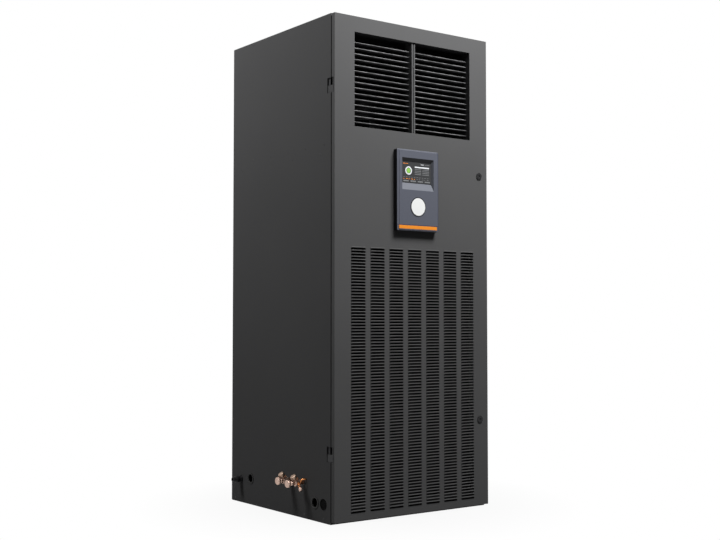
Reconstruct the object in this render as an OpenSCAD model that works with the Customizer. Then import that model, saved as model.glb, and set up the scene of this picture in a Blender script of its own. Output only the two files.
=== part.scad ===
/* [Cabinet] */
// Width over the side panels
cab_w = 700; // [660:5:760]
// Depth from the door's face to the rear panel
cab_d = 690; // [680:5:760]
// Height over the top panel
cab_h = 1750; // [1735:5:1850]
// Thickness of the panels' steel sheet
panel_t = 1.5; // [1:0.1:2]
// Width of the folded returns behind the door
return_w = 30; // [24:1:32]
// Height of the base tray
base_h = 40; // [30:1:42]
// Thickness of the base tray's steel
base_t = 2; // [1.5:0.1:3]
// Depth of the top panel's side flanges
top_flange = 16; // [10:1:24]
// Width and depth of a front post
post_w = 40; // [30:1:44]
// How far the posts stand behind the cabinet's front edge
post_setback = 9; // [8.5:0.5:12]
// Height of the top of the deck that carries the fan
deck_z = 1305; // [1296:1:1312]
// Depth of the deck's folded edge
deck_edge = 45; // [35:1:50]

/* [Door] */
// Depth of the folded door
door_depth = 17; // [15:0.5:18]
// Gap between the door and the cabinet
door_gap = 5; // [4.5:0.5:7]
// Thickness of the door's sheet
door_t = 1.5; // [1:0.1:2]
// Width of the fold round the door's back
door_fold = 12; // [8:1:13]
// Height of the door's lower edge above the floor
door_low = 8; // [5:1:12]
// Gap between the top of the door and the top of the cabinet
door_top_gap = 2; // [1:0.5:4]
// How far the hinge axis lies in from the cabinet's side
hinge_in = 6; // [6:0.25:7]
// How far the hinge axis lies behind the door's face
hinge_back = 12; // [11:0.5:12.5]
// Outer radius of the hinge barrel
barrel_r = 5; // [4.5:0.1:5.4]
// Radius of the hinge pin
pin_r = 3; // [2.5:0.1:3.4]
// Running clearance of the hinge pin
pin_clear = 0.05; // [0.03:0.01:0.1]
// Height of one hinge
hinge_h = 50; // [40:1:60]
// Thickness of the hinge leaves
leaf_t = 3; // [2:0.25:3.5]
// Width of the hinge leaves on the door
leaf_w = 34; // [24:1:44]
// Middle height of the lower hinge
lower_hinge_z = 236; // [150:1:400]
// Middle height of the upper hinge
upper_hinge_z = 1500; // [1300:1:1600]

/* [Discharge grille] */
// Width of the discharge opening
outlet_w = 532; // [480:2:540]
// Height of the discharge opening
outlet_h = 330; // [300:2:334]
// Height of the opening's lower edge
outlet_z = 1363; // [1358:1:1366]
// Least plain band above and below the blades, together
blade_band = 24; // [10:1:60]
// Spacing of the blades
blade_pitch = 20; // [19:0.5:20.5]
// Depth of a blade
blade_d = 26; // [20:1:32]
// Thickness of a blade at its nose
blade_nose = 3; // [2:0.25:4]
// How far the blades lie behind the door's face
blade_back = 20; // [18:1:24]
// Width of the centre bar between the banks
mullion_w = 15; // [12:1:20]
// How far the centre bar lies behind the door's face
mullion_back = 5; // [4:0.5:8]
// Depth of the grille's frame
frame_d = 45; // [42:1:55]
// Width of the frame's flange against the door
flange_w = 12; // [8:1:13]

/* [Intake louvres] */
// Spacing of the columns
column_pitch = 83.2; // [70:0.4:110]
// Width of one louvre
louvre_w = 62; // [40:1:66]
// Spacing of the louvres in a column
louvre_pitch = 10.6; // [9:0.1:16]
// Height of a louvre's lip
lip_h = 5.6; // [4.5:0.1:6.5]
// How far a lip slopes from front to back
lip_slope = 4; // [3:0.25:6]
// Height of the lowest louvre
louvre_z = 34; // [30:1:40]
// Plain margin round the field of louvres
louvre_margin = 9; // [6:1:14]
// Least plain band between the louvres and the display
louvre_band = 60; // [50:1:120]

/* [Control display] */
// Width of the display unit
display_w = 190; // [170:2:200]
// Height of the display unit
display_h = 290; // [280:2:296]
// How far the display stands out of the door
display_proud = 21; // [16:1:26]
// Height of the display's lower edge
display_z = 1009; // [1000:1:1012]
// Width of the window in the display's face
window_w = 145; // [130:1:150]
// Height of the window in the display's face
window_h = 114; // [104:1:116]
// Depth of the window's sloped edge
window_d = 6; // [4:0.5:8]
// Radius of the round status lens
lens_r = 35; // [28:1:38]
// Radius of the display's rounded corners
display_round = 5; // [2:0.5:8]

/* [Latches] */
// Radius of a quarter-turn latch head
latch_r = 12.7; // [11:0.1:14]
// Distance of the latches from the cabinet's right side
latch_in = 40; // [39.5:0.5:42]
// Height of the lower latch
lower_latch_z = 324; // [200:1:500]
// Height of the upper latch
upper_latch_z = 1231; // [1000:1:1280]
// Radius of the latch's shank
shank_r = 8; // [6:0.25:8.5]
// Length of the latch's tongue from its axis
tongue_l = 33; // [26:1:34]

/* [Fan] */
// Outer radius of the impeller
impeller_r = 190; // [170:1:195]
// Height of the impeller between its shroud and its back plate
impeller_h = 116; // [90:1:125]
// Radius of the fan inlet's throat
throat_r = 118; // [105:1:122]
// Number of impeller blades
impeller_blades = 7; // [5:1:9]
// Distance of the fan's axis behind the middle of the cabinet
fan_y = 20; // [0:1:40]
// Radius of the motor
motor_r = 72; // [60:1:80]
// Radius of the motor's shaft
shaft_r = 8; // [6:0.5:10]
// Running clearance of the shaft in its bearing
shaft_clear = 0.05; // [0.03:0.01:0.1]
// Radius of the inlet ring's flare
flare_r = 18; // [12:1:22]
// Depth of the inlet ring's straight throat
throat_l = 16; // [10:1:18]

/* [Cooling circuit] */
// Width of the coil over its fins
coil_w = 590; // [560:5:600]
// Height of the coil along its slope
coil_h = 690; // [640:5:700]
// Thickness of the coil
coil_t = 60; // [50:1:70]
// Height of the coil's middle above the floor
coil_z = 690; // [670:5:720]
// Slope of the coil from upright, in degrees
coil_tilt = 35; // [32:1:37]
// Radius of the compressor's shell
shell_r = 92; // [80:1:96]
// Height of the compressor's shell
shell_h = 400; // [360:5:420]
// Height of the rubber feet under the compressor
foot_h = 28; // [20:1:35]
// Radius of the gas pipe
gas_r = 8; // [6:0.25:8.5]
// Radius of the liquid pipe
liquid_r = 6.35; // [5:0.25:7]
// Height of the service valves above the floor
valve_z = 125; // [115:1:130]
// Distance of the gas valve in front of the cabinet's middle
gas_y = 78; // [70:1:85]
// Distance of the liquid valve in front of the cabinet's middle
liquid_y = 157; // [150:1:165]
// How far the valve bodies lie out of the side panel
valve_out = 34; // [30:1:40]
// Radius of the valves' pipe spigots
spigot_r = 13.5; // [12:0.25:14.5]
// Length of the valves' pipe spigots
spigot_l = 10; // [8:0.5:14]
// Radius of the valves' stem caps
cap_r = 11; // [9:0.25:12]

/* [Reheat] */
// Radius of a heating element's sheath
element_r = 6; // [4:0.25:8]
// Spacing of the two elements, and of the two runs of each
element_gap = 70; // [50:1:90]
// How far the upper runs hang below the deck's edge
element_drop = 70; // [50:1:90]

/* [Filter] */
// Thickness of the air filter
filter_t = 22; // [18:1:24]
// Spacing of the filter's pleats
pleat_pitch = 20; // [16:1:24]

/* [Electrical box] */
// Height of the box's lower edge
box_z = 1024; // [1020:1:1030]
// Height of the box
box_h = 222; // [200:1:224]
// Depth of the box
box_d = 84; // [76:1:90]
// Radius of the isolator's knob
knob_r = 21; // [17:0.5:24]
// Width of a contactor
relay_w = 45; // [36:1:54]
// Height of a contactor
relay_h = 80; // [60:1:100]
// Depth of a contactor
relay_d = 60; // [40:1:66]
// Spacing of the contactors
relay_pitch = 62; // [56:1:90]

/* [Panel screws] */
// Radius of a screw head
screw_r = 3.2; // [2.5:0.1:5]
// Height of a screw head
screw_rise = 0.8; // [0.4:0.1:1.5]
// Distance of the first screws from the door's face
screw_first = 63; // [40:1:100]
// Spacing of the screws along a side panel
screw_pitch = 119; // [80:1:160]
// Distance of the first deck screws from the door's face
deck_screw_first = 89; // [60:1:120]
// Spacing of the deck screws
deck_screw_pitch = 177.5; // [120:0.5:180]
// Distance of the deck screws from the deck's top and lower edge
deck_screw_edge = 7; // [5:0.5:12]
// Distance of the edge screws from a panel's edge
screw_edge = 15; // [8:1:20]
// Spacing of the screws across the rear panel
rear_screw_pitch = 140; // [100:5:150]

/* [Cable entries] */
// Radius of the cable gland's hole
gland_r = 11; // [9:0.5:12]
// Distance of the gland behind the cabinet's middle
gland_y = 275; // [250:1:285]
// Height of the gland above the floor
gland_z = 88; // [75:1:110]
// Radius of the cable entry holes
entry_r = 15; // [12:0.5:16]

/* [Hidden] */
$fn = 48;
seat = 0.3;
eps = 0.01;
half_w = cab_w / 2;
inner_x = half_w - panel_t;
front_y = -cab_d / 2;
rear_y = cab_d / 2;
cab_y = front_y + door_depth + door_gap;
door_back_y = front_y + door_depth;
door_in_y = front_y + door_t;
door_top = cab_h - door_top_gap;
post_x = inner_x - leaf_t;
post_y = cab_y + post_setback;
post_inner_x = post_x - post_w;
hinge_x = -half_w + hinge_in;
hinge_y = front_y + hinge_back;
hinge_z = [lower_hinge_z, upper_hinge_z];
latch_z = [lower_latch_z, upper_latch_z];
outlet_x = outlet_w / 2;
outlet_top = outlet_z + outlet_h;
frame_back_y = door_in_y + frame_d;
blade_y = front_y + blade_back;
blade_count = floor((outlet_h - blade_band) / blade_pitch);
first_blade_z = outlet_z + (outlet_h - (blade_count - 1) * blade_pitch) / 2 - 6;
mullion_y = front_y + mullion_back;
plain_strip = latch_in + latch_r + louvre_margin;
louvre_columns = floor((cab_w - 2 * plain_strip - louvre_w) / column_pitch) + 1;
louvre_rows = floor((display_z - louvre_band - louvre_z) / louvre_pitch);
field_w = (louvre_columns - 1) * column_pitch + louvre_w;
field_h = louvre_rows * louvre_pitch;
louvre_x = field_w / 2 + louvre_margin;
louvre_low = louvre_z - louvre_margin;
louvre_high = louvre_z + field_h + louvre_margin;
display_y = front_y - display_proud;
display_back_w = display_w - 44;
display_back_h = display_h - 90;
window_z = display_z + display_h - window_h - 29.5;
lens_z = display_z + 87;
strip_z = display_z + 7;
strip_x = display_w / 2 - 8;
strip_h = 12;
strip_t = 0.8;
strip_rise = 0.2;
window_slope = 7;
latch_x = half_w - latch_in;
fan_z = deck_z + 10;
impeller_top = fan_z + impeller_h + 4;
rotor_h = 40;
motor_z = impeller_top + rotor_h + 0.5;
motor_h = 46;
leg_x = impeller_r * 0.79;
coil_mid = [0, 0, coil_z];
coil_x = coil_w / 2;
plate_t = 2;
pan_h = 34;
pan_z = coil_mid[2] - (coil_h / 2 + 8) * cos(coil_tilt) - (coil_t / 2 + 8) * sin(coil_tilt) - pan_h - 1;
header_r = 13;
header_x = -coil_x - 24;
compressor_x = -140;
plate_z = base_t + foot_h;
shell_z = plate_z + 4;
shell_top = shell_z + shell_h;
port_rise = 60;
riser_x = -coil_x - 27;
bend_r = 20;
valve_x = -half_w - valve_out;
valve_body = 10;
drier_z = 260;
drier_h = 140;
glass_z = 440;
txv_z = 560;
filter_low = base_h + 4;
filter_high = box_z - 60;
filter_x = post_inner_x - 2;
filter_y = post_y;
box_x = post_inner_x - 4;
box_y = post_y;
rail_d = 8.5;
rail_y = box_y + box_d - 1.5;
entries = [[203, 98, entry_r], [-229, 64, entry_r + 1]];

// A box between two corners
module box(low, high) {
    translate(low) cube(high - low);
}

// A round bar along X, Y or Z from a point
module bar_x(at, r, length) {
    translate(at) rotate([0, 90, 0]) cylinder(r = r, h = length);
}

module bar_y(at, r, length) {
    translate(at) rotate([-90, 0, 0]) cylinder(r = r, h = length);
}

module bar_z(at, r, length) {
    translate(at) cylinder(r = r, h = length);
}

function unit(v) = v / norm(v);

// A straight length of round bar between two points
module leg(from, to, r) {
    run = to - from;
    translate(from)
        rotate([0, acos(run[2] / norm(run)), atan2(run[1], run[0])])
            cylinder(r = r, h = norm(run));
}

// A quarter bend that joins two legs at right angles
module elbow(corner, way_in, way_out, bend, r) {
    side = cross(way_in, way_out);
    centre = corner - bend * way_in + bend * way_out;
    multmatrix([
        [-way_out[0], way_in[0], side[0], centre[0]],
        [-way_out[1], way_in[1], side[1], centre[1]],
        [-way_out[2], way_in[2], side[2], centre[2]],
        [0, 0, 0, 1]])
        rotate_extrude(angle = 90) translate([bend, 0]) circle(r);
}

// A bent pipe through right-angled corners
module pipe(points, r, bend) {
    last = len(points) - 1;
    for (i = [0:last - 1]) {
        way = unit(points[i + 1] - points[i]);
        start = i == 0 ? points[0] : points[i] + bend * way;
        end = i + 1 == last ? points[last] : points[i + 1] - bend * way;
        leg(start, end, r);
        if (i > 0)
            elbow(points[i], unit(points[i] - points[i - 1]), way, bend, r);
    }
}

// A rectangle with rounded corners, centred
module rounded(w, h, r) {
    union() {
        square([w - 2 * r, h], center = true);
        square([w, h - 2 * r], center = true);
        for (x = [-1, 1], y = [-1, 1])
            translate([x * (w / 2 - r), y * (h / 2 - r)]) circle(r);
    }
}

// ---- Cabinet ----

module base_tray() {
    color("dimgray")
        difference() {
            box([-inner_x, cab_y + panel_t, 0], [inner_x, rear_y - 2 * panel_t, base_h]);
            box([-inner_x + base_t, cab_y + panel_t + base_t, base_t],
                [inner_x - base_t, rear_y - 2 * panel_t - base_t, base_h + 1]);
        }
}

// The folded sheet of a side panel, as the left one
module side_sheet() {
    top = cab_h - panel_t;
    box([-half_w, cab_y, 1], [-inner_x, rear_y - panel_t, top]);
    box([-half_w, cab_y, 1], [-half_w + return_w, cab_y + panel_t, top]);
    box([-half_w, rear_y - 2 * panel_t, base_h + 1], [-half_w + return_w, rear_y - panel_t, top - 20]);
}

module left_panel() {
    color("#3b3b3d")
        difference() {
            side_sheet();
            for (z = hinge_z)
                box([-half_w - 1, cab_y - 1, z - hinge_h / 2 - 1],
                    [-half_w + hinge_in + barrel_r + 1, cab_y + 22, z + hinge_h / 2 + 1]);
            bar_x([-half_w - 1, -gas_y, valve_z], gas_r + 4, panel_t + 2);
            bar_x([-half_w - 1, -liquid_y, valve_z], liquid_r + 4, panel_t + 2);
            bar_x([-half_w - 1, gland_y, gland_z], gland_r + 0.2, panel_t + 2);
            for (e = entries)
                bar_x([-half_w - 1, e[0], e[1]], e[2] + 3, panel_t + 2);
        }
}

module right_panel() {
    color("#3b3b3d") mirror([1, 0, 0]) side_sheet();
}

module rear_panel() {
    color("#343436")
        box([-half_w, rear_y - panel_t, 1], [half_w, rear_y, cab_h - panel_t]);
}

module top_panel() {
    color("#3b3b3d") {
        box([-half_w, cab_y, cab_h - panel_t], [half_w, rear_y, cab_h]);
        for (side = [0, 1])
            mirror([side, 0, 0])
                box([inner_x - panel_t, post_y + post_w + 2, cab_h - panel_t - top_flange],
                    [inner_x, rear_y - 2 * panel_t, cab_h - panel_t]);
    }
}

// A lipped channel that stands behind the door's edge
module post() {
    wall = 2;
    translate([-post_x, post_y, base_t])
        linear_extrude(cab_h - panel_t - base_t)
            difference() {
                square([post_w, post_w]);
                translate([wall, wall]) square([post_w - 2 * wall, post_w - 2 * wall]);
                translate([12, post_w - wall - 1]) square([post_w - 24, wall + 2]);
            }
}

module front_post_left() {
    color("gray") post();
}

module front_post_right() {
    color("gray") mirror([1, 0, 0]) post();
}

// Folded cross rails at the top of the frame and at the deck
module front_rails() {
    wall = 2;
    top_rail_h = 36;
    color("gray")
        for (rail = [[cab_h - panel_t - top_rail_h, top_rail_h], [deck_z - deck_edge, deck_edge]])
            translate([-post_inner_x, post_y, rail[0]])
                rotate([90, 0, 90])
                    linear_extrude(2 * post_inner_x)
                        difference() {
                            square([post_w, rail[1]]);
                            translate([wall, -1]) square([post_w - 2 * wall, rail[1] - wall + 1]);
                        }
}

module fan_deck() {
    wall = 2;
    low_y = post_y + post_w + seat;
    high_y = rear_y - 2 * panel_t;
    color("silver")
        difference() {
            box([-inner_x, low_y, deck_z - deck_edge], [inner_x, high_y, deck_z]);
            box([-inner_x + wall, low_y + wall, deck_z - deck_edge - 1],
                [inner_x - wall, high_y - wall, deck_z - wall]);
            bar_z([0, fan_y, deck_z - wall - 1], throat_r + 14, wall + 2);
        }
}

module door_gasket() {
    thick = door_gap - seat;
    strip = 12;
    out_x = half_w - 16;
    low = door_low + door_fold + 4;
    high = door_top - 16;
    color("#202020")
        difference() {
            box([-out_x, cab_y - thick, low], [out_x, cab_y, high]);
            box([-out_x + strip, cab_y - thick - 1, low + strip], [out_x - strip, cab_y + 1, high - strip]);
        }
}

// ---- Air filter ----

module filter_frame() {
    wall = 1.5;
    lip = 14;
    low = filter_low + 2;
    high = filter_high - 2;
    x = filter_x - 2;
    color("gainsboro")
        difference() {
            box([-x, filter_y + 2, low], [x, filter_y + 2 + filter_t, high]);
            box([-x + lip, filter_y, low + lip], [x - lip, filter_y + filter_t + 4, high - lip]);
            box([-x + wall, filter_y + 2 + wall, low + wall],
                [x - wall, filter_y + 2 + filter_t - wall, high - wall]);
        }
}

// A pleated sheet, made as one zigzag outline
module filter_media() {
    wall = 1.5;
    thick = 1.2;
    low = filter_low + 4;
    pleats = floor((filter_high - 4 - low) / pleat_pitch);
    front = filter_y + 2 + wall + seat;
    back = filter_y + 2 + filter_t - wall - seat - thick;
    x = filter_x - 4;
    steps = [for (i = [0:2 * pleats]) [i % 2 == 0 ? front : back, low + i * pleat_pitch / 2]];
    back_steps = [for (i = [2 * pleats:-1:0]) steps[i] + [thick, 0]];
    color("white")
        translate([-x, 0, 0])
            rotate([90, 0, 90]) linear_extrude(2 * x) polygon(concat(steps, back_steps));
}

// Channels that the filter's frame stands in and is held by
module filter_channels() {
    wall = 1.5;
    color("silver") {
        difference() {
            box([-filter_x, filter_y, base_t], [filter_x, filter_y + filter_t + 4, filter_low + 16]);
            box([-filter_x - 1, filter_y + wall, filter_low + wall],
                [filter_x + 1, filter_y + filter_t + 4 - wall, filter_low + 17]);
            box([-filter_x - 1, filter_y + wall, base_t - 1],
                [filter_x + 1, filter_y + filter_t + 4 - wall, filter_low]);
        }
        difference() {
            box([-filter_x, filter_y, filter_high - 14], [filter_x, filter_y + filter_t + 4, box_z]);
            box([-filter_x - 1, filter_y + wall, filter_high - 15],
                [filter_x + 1, filter_y + filter_t + 4 - wall, filter_high - wall]);
            box([-filter_x - 1, filter_y + wall, filter_high],
                [filter_x + 1, filter_y + filter_t + 5, box_z + 1]);
        }
    }
}

// ---- Cooling coil ----

// Height of the coil's middle plane, and depth of its header, at a given place
function coil_middle_z(y) = coil_mid[2] - (y - coil_mid[1]) / tan(coil_tilt);

function header_y(z) = coil_mid[1] + coil_t / 4 / cos(coil_tilt) - (z - coil_mid[2]) * tan(coil_tilt);

// Everything on the coil is drawn upright and then leant back to its slope
module on_slope() {
    translate(coil_mid) rotate([coil_tilt, 0, 0]) children();
}

module coil_fins() {
    pitch = 10;
    slit = 4;
    depth = 3;
    count = floor(coil_w / pitch);
    x0 = -coil_x + plate_t + seat;
    x1 = coil_x - plate_t - seat;
    comb = [for (i = [1:count - 1]) let (x = x0 + i * pitch)
        each [[x, 0], [x, depth], [x + slit, depth], [x + slit, 0]]];
    inside = [for (p = comb) if (p[0] < x1 - 1) p];
    color("silver")
        on_slope()
            translate([0, -coil_t / 2, -coil_h / 2])
                linear_extrude(coil_h)
                    polygon(concat([[x0, coil_t], [x0, 0]], inside, [[x1, 0], [x1, coil_t]]));
}

// End plates, each with a baffle that closes the gap to the side panel
module coil_end_plates() {
    grow = 8;
    deep = coil_t / 2 + grow;
    color("lightgray")
        on_slope()
            for (side = [-1, 1]) {
                translate([side * (coil_x - plate_t / 2), 0, 0])
                    cube([plate_t, 2 * deep, coil_h + 2 * grow], center = true);
                translate([side * (coil_x - plate_t + inner_x - seat) / 2, deep - plate_t / 2, 0])
                    cube([inner_x - seat - coil_x + plate_t, plate_t, coil_h + 2 * grow], center = true);
            }
}

// Return bends on the right, and the header with its branches on the left
module coil_tubes() {
    bend = 12.5;
    tube = 4.8;
    branch = 5;
    count = floor(coil_h / 50) - 1;
    color("#b87333")
        on_slope() {
            for (i = [0:count - 1], row = [-1, 1])
                translate([coil_x + seat, row * coil_t / 4, (i - (count - 1) / 2) * 50])
                    rotate([90, 0, 0]) rotate([0, 0, -90])
                        rotate_extrude(angle = 180) translate([bend, 0]) circle(tube);
            bar_z([header_x, coil_t / 4, -coil_h / 2 + 40], header_r, coil_h - 185);
            for (i = [0:4])
                bar_x([header_x, coil_t / 4, -coil_h / 2 + 80 + i * 105], branch, -coil_x - header_x - seat);
        }
}

module drain_pan() {
    wall = 1.5;
    pan_x = inner_x - seat;
    low_y = coil_mid[1] + coil_h / 2 * sin(coil_tilt) - coil_t;
    high_y = rear_y - 2 * panel_t - return_w / 2 + 12;
    color("silver") {
        difference() {
            box([-pan_x, low_y, pan_z], [pan_x, high_y, pan_z + pan_h]);
            box([-pan_x + wall, low_y + wall, pan_z + wall],
                [pan_x - wall, high_y - wall, pan_z + pan_h + 1]);
        }
        bar_z([inner_x - 60, high_y - 40, pan_z - 20], 9, 20);
    }
}

// ---- Compressor ----

module compressor_shell() {
    color("#1c1c1e")
        translate([compressor_x, -gas_y, shell_z + shell_h / 2]) {
            intersection() {
                cylinder(r = shell_r, h = shell_h, center = true);
                sphere(shell_h / 2);
            }
            for (z = [-0.62, 0.62])
                translate([0, 0, z * shell_h / 2]) cylinder(r = shell_r + 2, h = 6, center = true);
            translate([0, 0, -shell_h / 2]) cylinder(r = shell_r * 0.6, h = 14);
            translate([shell_r - 6, 0, 40]) rotate([0, 90, 0]) cylinder(r = 34, h = 30);
            translate([0, shell_r - 12, port_rise]) rotate([-90, 0, 0]) cylinder(r = gas_r + 5, h = 24);
        }
}

module compressor_base() {
    span = shell_r * 0.95;
    color("#2a2a2c")
        translate([compressor_x, -gas_y, plate_z])
            difference() {
                linear_extrude(4) {
                    circle(shell_r + 8);
                    for (x = [-1, 1], y = [-1, 1])
                        translate([x * span, y * span]) circle(18);
                }
                for (x = [-1, 1], y = [-1, 1])
                    translate([x * span, y * span, -1]) cylinder(r = 5, h = 6);
            }
}

module compressor_mounts() {
    span = shell_r * 0.95;
    foot_r = 17;
    lip = 6;
    color("#151515")
        for (x = [-1, 1], y = [-1, 1])
            translate([compressor_x + x * span, -gas_y + y * span, base_t])
                rotate_extrude()
                    polygon([[0, 0], [foot_r, 0], [foot_r, lip], [foot_r - 4, foot_h / 2],
                        [foot_r, foot_h - lip], [foot_r, foot_h], [0, foot_h]]);
}

// ---- Pipes ----

module gas_line() {
    top = shell_top + 60;
    color("#b87333")
        pipe([[compressor_x, -gas_y, shell_top + seat], [compressor_x, -gas_y, top],
            [riser_x, -gas_y, top], [riser_x, -gas_y, valve_z], [valve_x + 12, -gas_y, valve_z]],
            gas_r, bend_r);
}

module liquid_line() {
    x = riser_x;
    color("#b87333") {
        pipe([[valve_x + 12, -liquid_y, valve_z], [x, -liquid_y, valve_z], [x, -liquid_y, drier_z]],
            liquid_r, bend_r);
        leg([x, -liquid_y, drier_z + drier_h], [x, -liquid_y, glass_z], liquid_r);
        leg([x, -liquid_y, glass_z + 34], [x, -liquid_y, txv_z], liquid_r);
        pipe([[x, -liquid_y, txv_z + 44], [x, -liquid_y, coil_middle_z(-liquid_y)],
            [-coil_x - seat, -liquid_y, coil_middle_z(-liquid_y)]], liquid_r, bend_r);
    }
}

// From the coil's header to the rear of the compressor
module suction_line() {
    x = header_x;
    high_z = coil_mid[2] - coil_h / 2 * cos(coil_tilt) + 62;
    low_z = shell_z + shell_h / 2 + port_rise;
    start_y = header_y(high_z) - header_r / cos(coil_tilt) - gas_r * tan(coil_tilt) - seat;
    port_y = -gas_y + shell_r + 12 + seat;
    y = port_y + 54;
    color("#b87333")
        pipe([[x, start_y, high_z], [x, y, high_z], [x, y, low_z], [compressor_x, y, low_z],
            [compressor_x, port_y, low_z]], gas_r, bend_r);
}

module filter_drier() {
    neck = 9;
    body = 24;
    color("#7c8c3c")
        translate([riser_x, -liquid_y, drier_z])
            rotate_extrude()
                polygon([[0, 0], [neck, 0], [neck, 10], [body, 28], [body, drier_h - 28],
                    [neck, drier_h - 10], [neck, drier_h], [0, drier_h]]);
}

module sight_glass() {
    color("#b5a642")
        translate([riser_x, -liquid_y, glass_z]) {
            cylinder(r = 10, h = 34);
            translate([0, 0, 17]) rotate([0, 90, 0]) cylinder(r = 14, h = 22);
        }
}

module expansion_valve() {
    color("#b5a642")
        translate([riser_x, -liquid_y, txv_z]) {
            cylinder(r = 12, h = 44);
            translate([8, 0, 22]) rotate([0, 90, 0]) cylinder(r = 10, h = 26);
            translate([34, 0, 22]) rotate([0, 90, 0]) cylinder(r = 20, h = 12);
        }
}

// ---- Service valves outside the left panel ----

// A valve with its spigot facing away from the panel and its stem upwards
module service_valve(y, r, reach) {
    body_l = 24;
    color("#c58a5a")
        translate([valve_x, y, valve_z]) {
            rotate([0, 90, 0]) translate([0, 0, -body_l / 2]) cylinder(r = valve_body, h = body_l, $fn = 6);
            translate([-reach, 0, 0]) rotate([0, 90, 0]) cylinder(r = r + 1, h = reach - body_l / 2 + 1);
            translate([-reach - spigot_l, 0, 0]) rotate([0, 90, 0]) cylinder(r = spigot_r, h = spigot_l);
            cylinder(r = 6, h = 20);
        }
}

module gas_valve() {
    service_valve(-gas_y, gas_r, 16);
}

module liquid_valve() {
    service_valve(-liquid_y, liquid_r, 26);
}

// Round caps on the two valve stems
module valve_caps() {
    color("#b98d72")
        for (y = [-gas_y, -liquid_y])
            translate([valve_x, y, valve_z + 20])
                rotate_extrude()
                    polygon([[0, 0], [cap_r - 2, 0], [cap_r, 2], [cap_r, 12], [cap_r - 3, 15], [0, 15]]);
}

// The small charging tube and its cap beside the liquid valve
module charging_port() {
    y = -liquid_y - valve_body * cos(30) - seat;
    tube = 3;
    color("#c58a5a") {
        pipe([[valve_x, y, valve_z], [valve_x, y - 22, valve_z], [valve_x, y - 22, valve_z - 18]], tube, 9);
        bar_z([valve_x, y - 22, valve_z - 32], 6, 14);
        pipe([[valve_x + 8, y, valve_z], [valve_x + 8, y - 16, valve_z], [valve_x + 8, y - 16, valve_z + 22],
            [-half_w - seat, y - 16, valve_z + 22]], tube - 0.5, 7);
    }
}

// A rubber ring in a hole of the left panel, with a lip on each side
module grommet(y, z, r, wall) {
    lip = 2;
    lip_r = r + wall + lip;
    neck_r = r + wall - 0.2;
    translate([-half_w, y, z])
        rotate([0, 90, 0])
            rotate_extrude()
                polygon([[r, -lip], [lip_r, -lip], [lip_r, 0], [neck_r, 0], [neck_r, panel_t],
                    [lip_r, panel_t], [lip_r, panel_t + 1.2], [r, panel_t + 1.2]]);
}

module grommets() {
    color("#181818") {
        grommet(-gas_y, valve_z, gas_r + seat, 3.7);
        grommet(-liquid_y, valve_z, liquid_r + seat, 3.7);
        for (e = entries)
            grommet(e[0], e[1], e[2], 3);
    }
}

module cable_gland() {
    color("#1a1a1a")
        translate([-half_w, gland_y, gland_z])
            rotate([0, -90, 0])
                difference() {
                    union() {
                        translate([0, 0, -8]) cylinder(r = gland_r, h = 14);
                        cylinder(r = gland_r + 4, h = 6, $fn = 6);
                        translate([0, 0, 6]) cylinder(r = gland_r + 1, h = 14);
                        translate([0, 0, 20]) cylinder(r1 = gland_r + 1, r2 = gland_r - 3, h = 18);
                        translate([0, 0, -panel_t - 5]) cylinder(r = gland_r + 3.5, h = 5, $fn = 6);
                    }
                    translate([0, 0, -9]) cylinder(r = gland_r - 5, h = 50);
                }
}

// ---- Fan ----

module inlet_ring() {
    wall = 2;
    rim = 8;
    color("silver")
        translate([0, fan_y, deck_z])
            rotate_extrude() {
                translate([throat_r + flare_r, 0])
                    intersection() {
                        difference() {
                            circle(flare_r);
                            circle(flare_r - wall);
                        }
                        translate([-flare_r - 1, -flare_r - 1]) square([flare_r + 1, flare_r + 1]);
                    }
                translate([throat_r, 0]) square([wall, throat_l]);
                translate([throat_r + flare_r, -flare_r]) square([rim, wall]);
                translate([throat_r + wall - eps, 0]) square([flare_r - wall, wall]);
            }
}

// Corner points of one backward-curved blade, seen from above
function impeller_side(offset, count) = [for (i = [0:count])
    let (s = i / count, r = 86 + (impeller_r - 88) * s, a = -58 * s)
    [r * cos(a) - offset * sin(a), r * sin(a) + offset * cos(a)]];

module fan_impeller() {
    wall = 2;
    eye = throat_r + 6;
    color("#26282b")
        translate([0, fan_y, fan_z]) {
            rotate_extrude()
                polygon([[eye, 0], [eye + wall, 0], [eye + wall, 6], [impeller_r, 22],
                    [impeller_r, 24], [eye, 8]]);
            translate([0, 0, impeller_h])
                cylinder(r = impeller_r, h = 4);
            for (i = [0:impeller_blades - 1])
                rotate([0, 0, i * 360 / impeller_blades])
                    difference() {
                        translate([0, 0, 8])
                            linear_extrude(impeller_h - 8 + eps)
                                polygon(concat(impeller_side(1.5, 8),
                                    [for (j = [8:-1:0]) impeller_side(-1.5, 8)[j]]));
                        rotate_extrude()
                            polygon([[0, 0], [0, 8.5], [eye + 1, 8.5],
                                [impeller_r + 1, 23], [impeller_r + 1, 0]]);
                    }
            translate([0, 0, impeller_h + 4]) cylinder(r = motor_r, h = rotor_h);
            translate([0, 0, impeller_h + 4 + rotor_h - eps]) cylinder(r = shaft_r, h = 24);
        }
}

module fan_motor() {
    color("#8a8d90")
        translate([0, fan_y, motor_z])
            difference() {
                union() {
                    cylinder(r = motor_r + 3, h = motor_h);
                    for (z = [6:8:motor_h - 8])
                        translate([0, 0, z]) cylinder(r = motor_r + 9, h = 3);
                }
                translate([0, 0, -1]) cylinder(r = shaft_r + shaft_clear, h = 28);
            }
}

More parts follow.
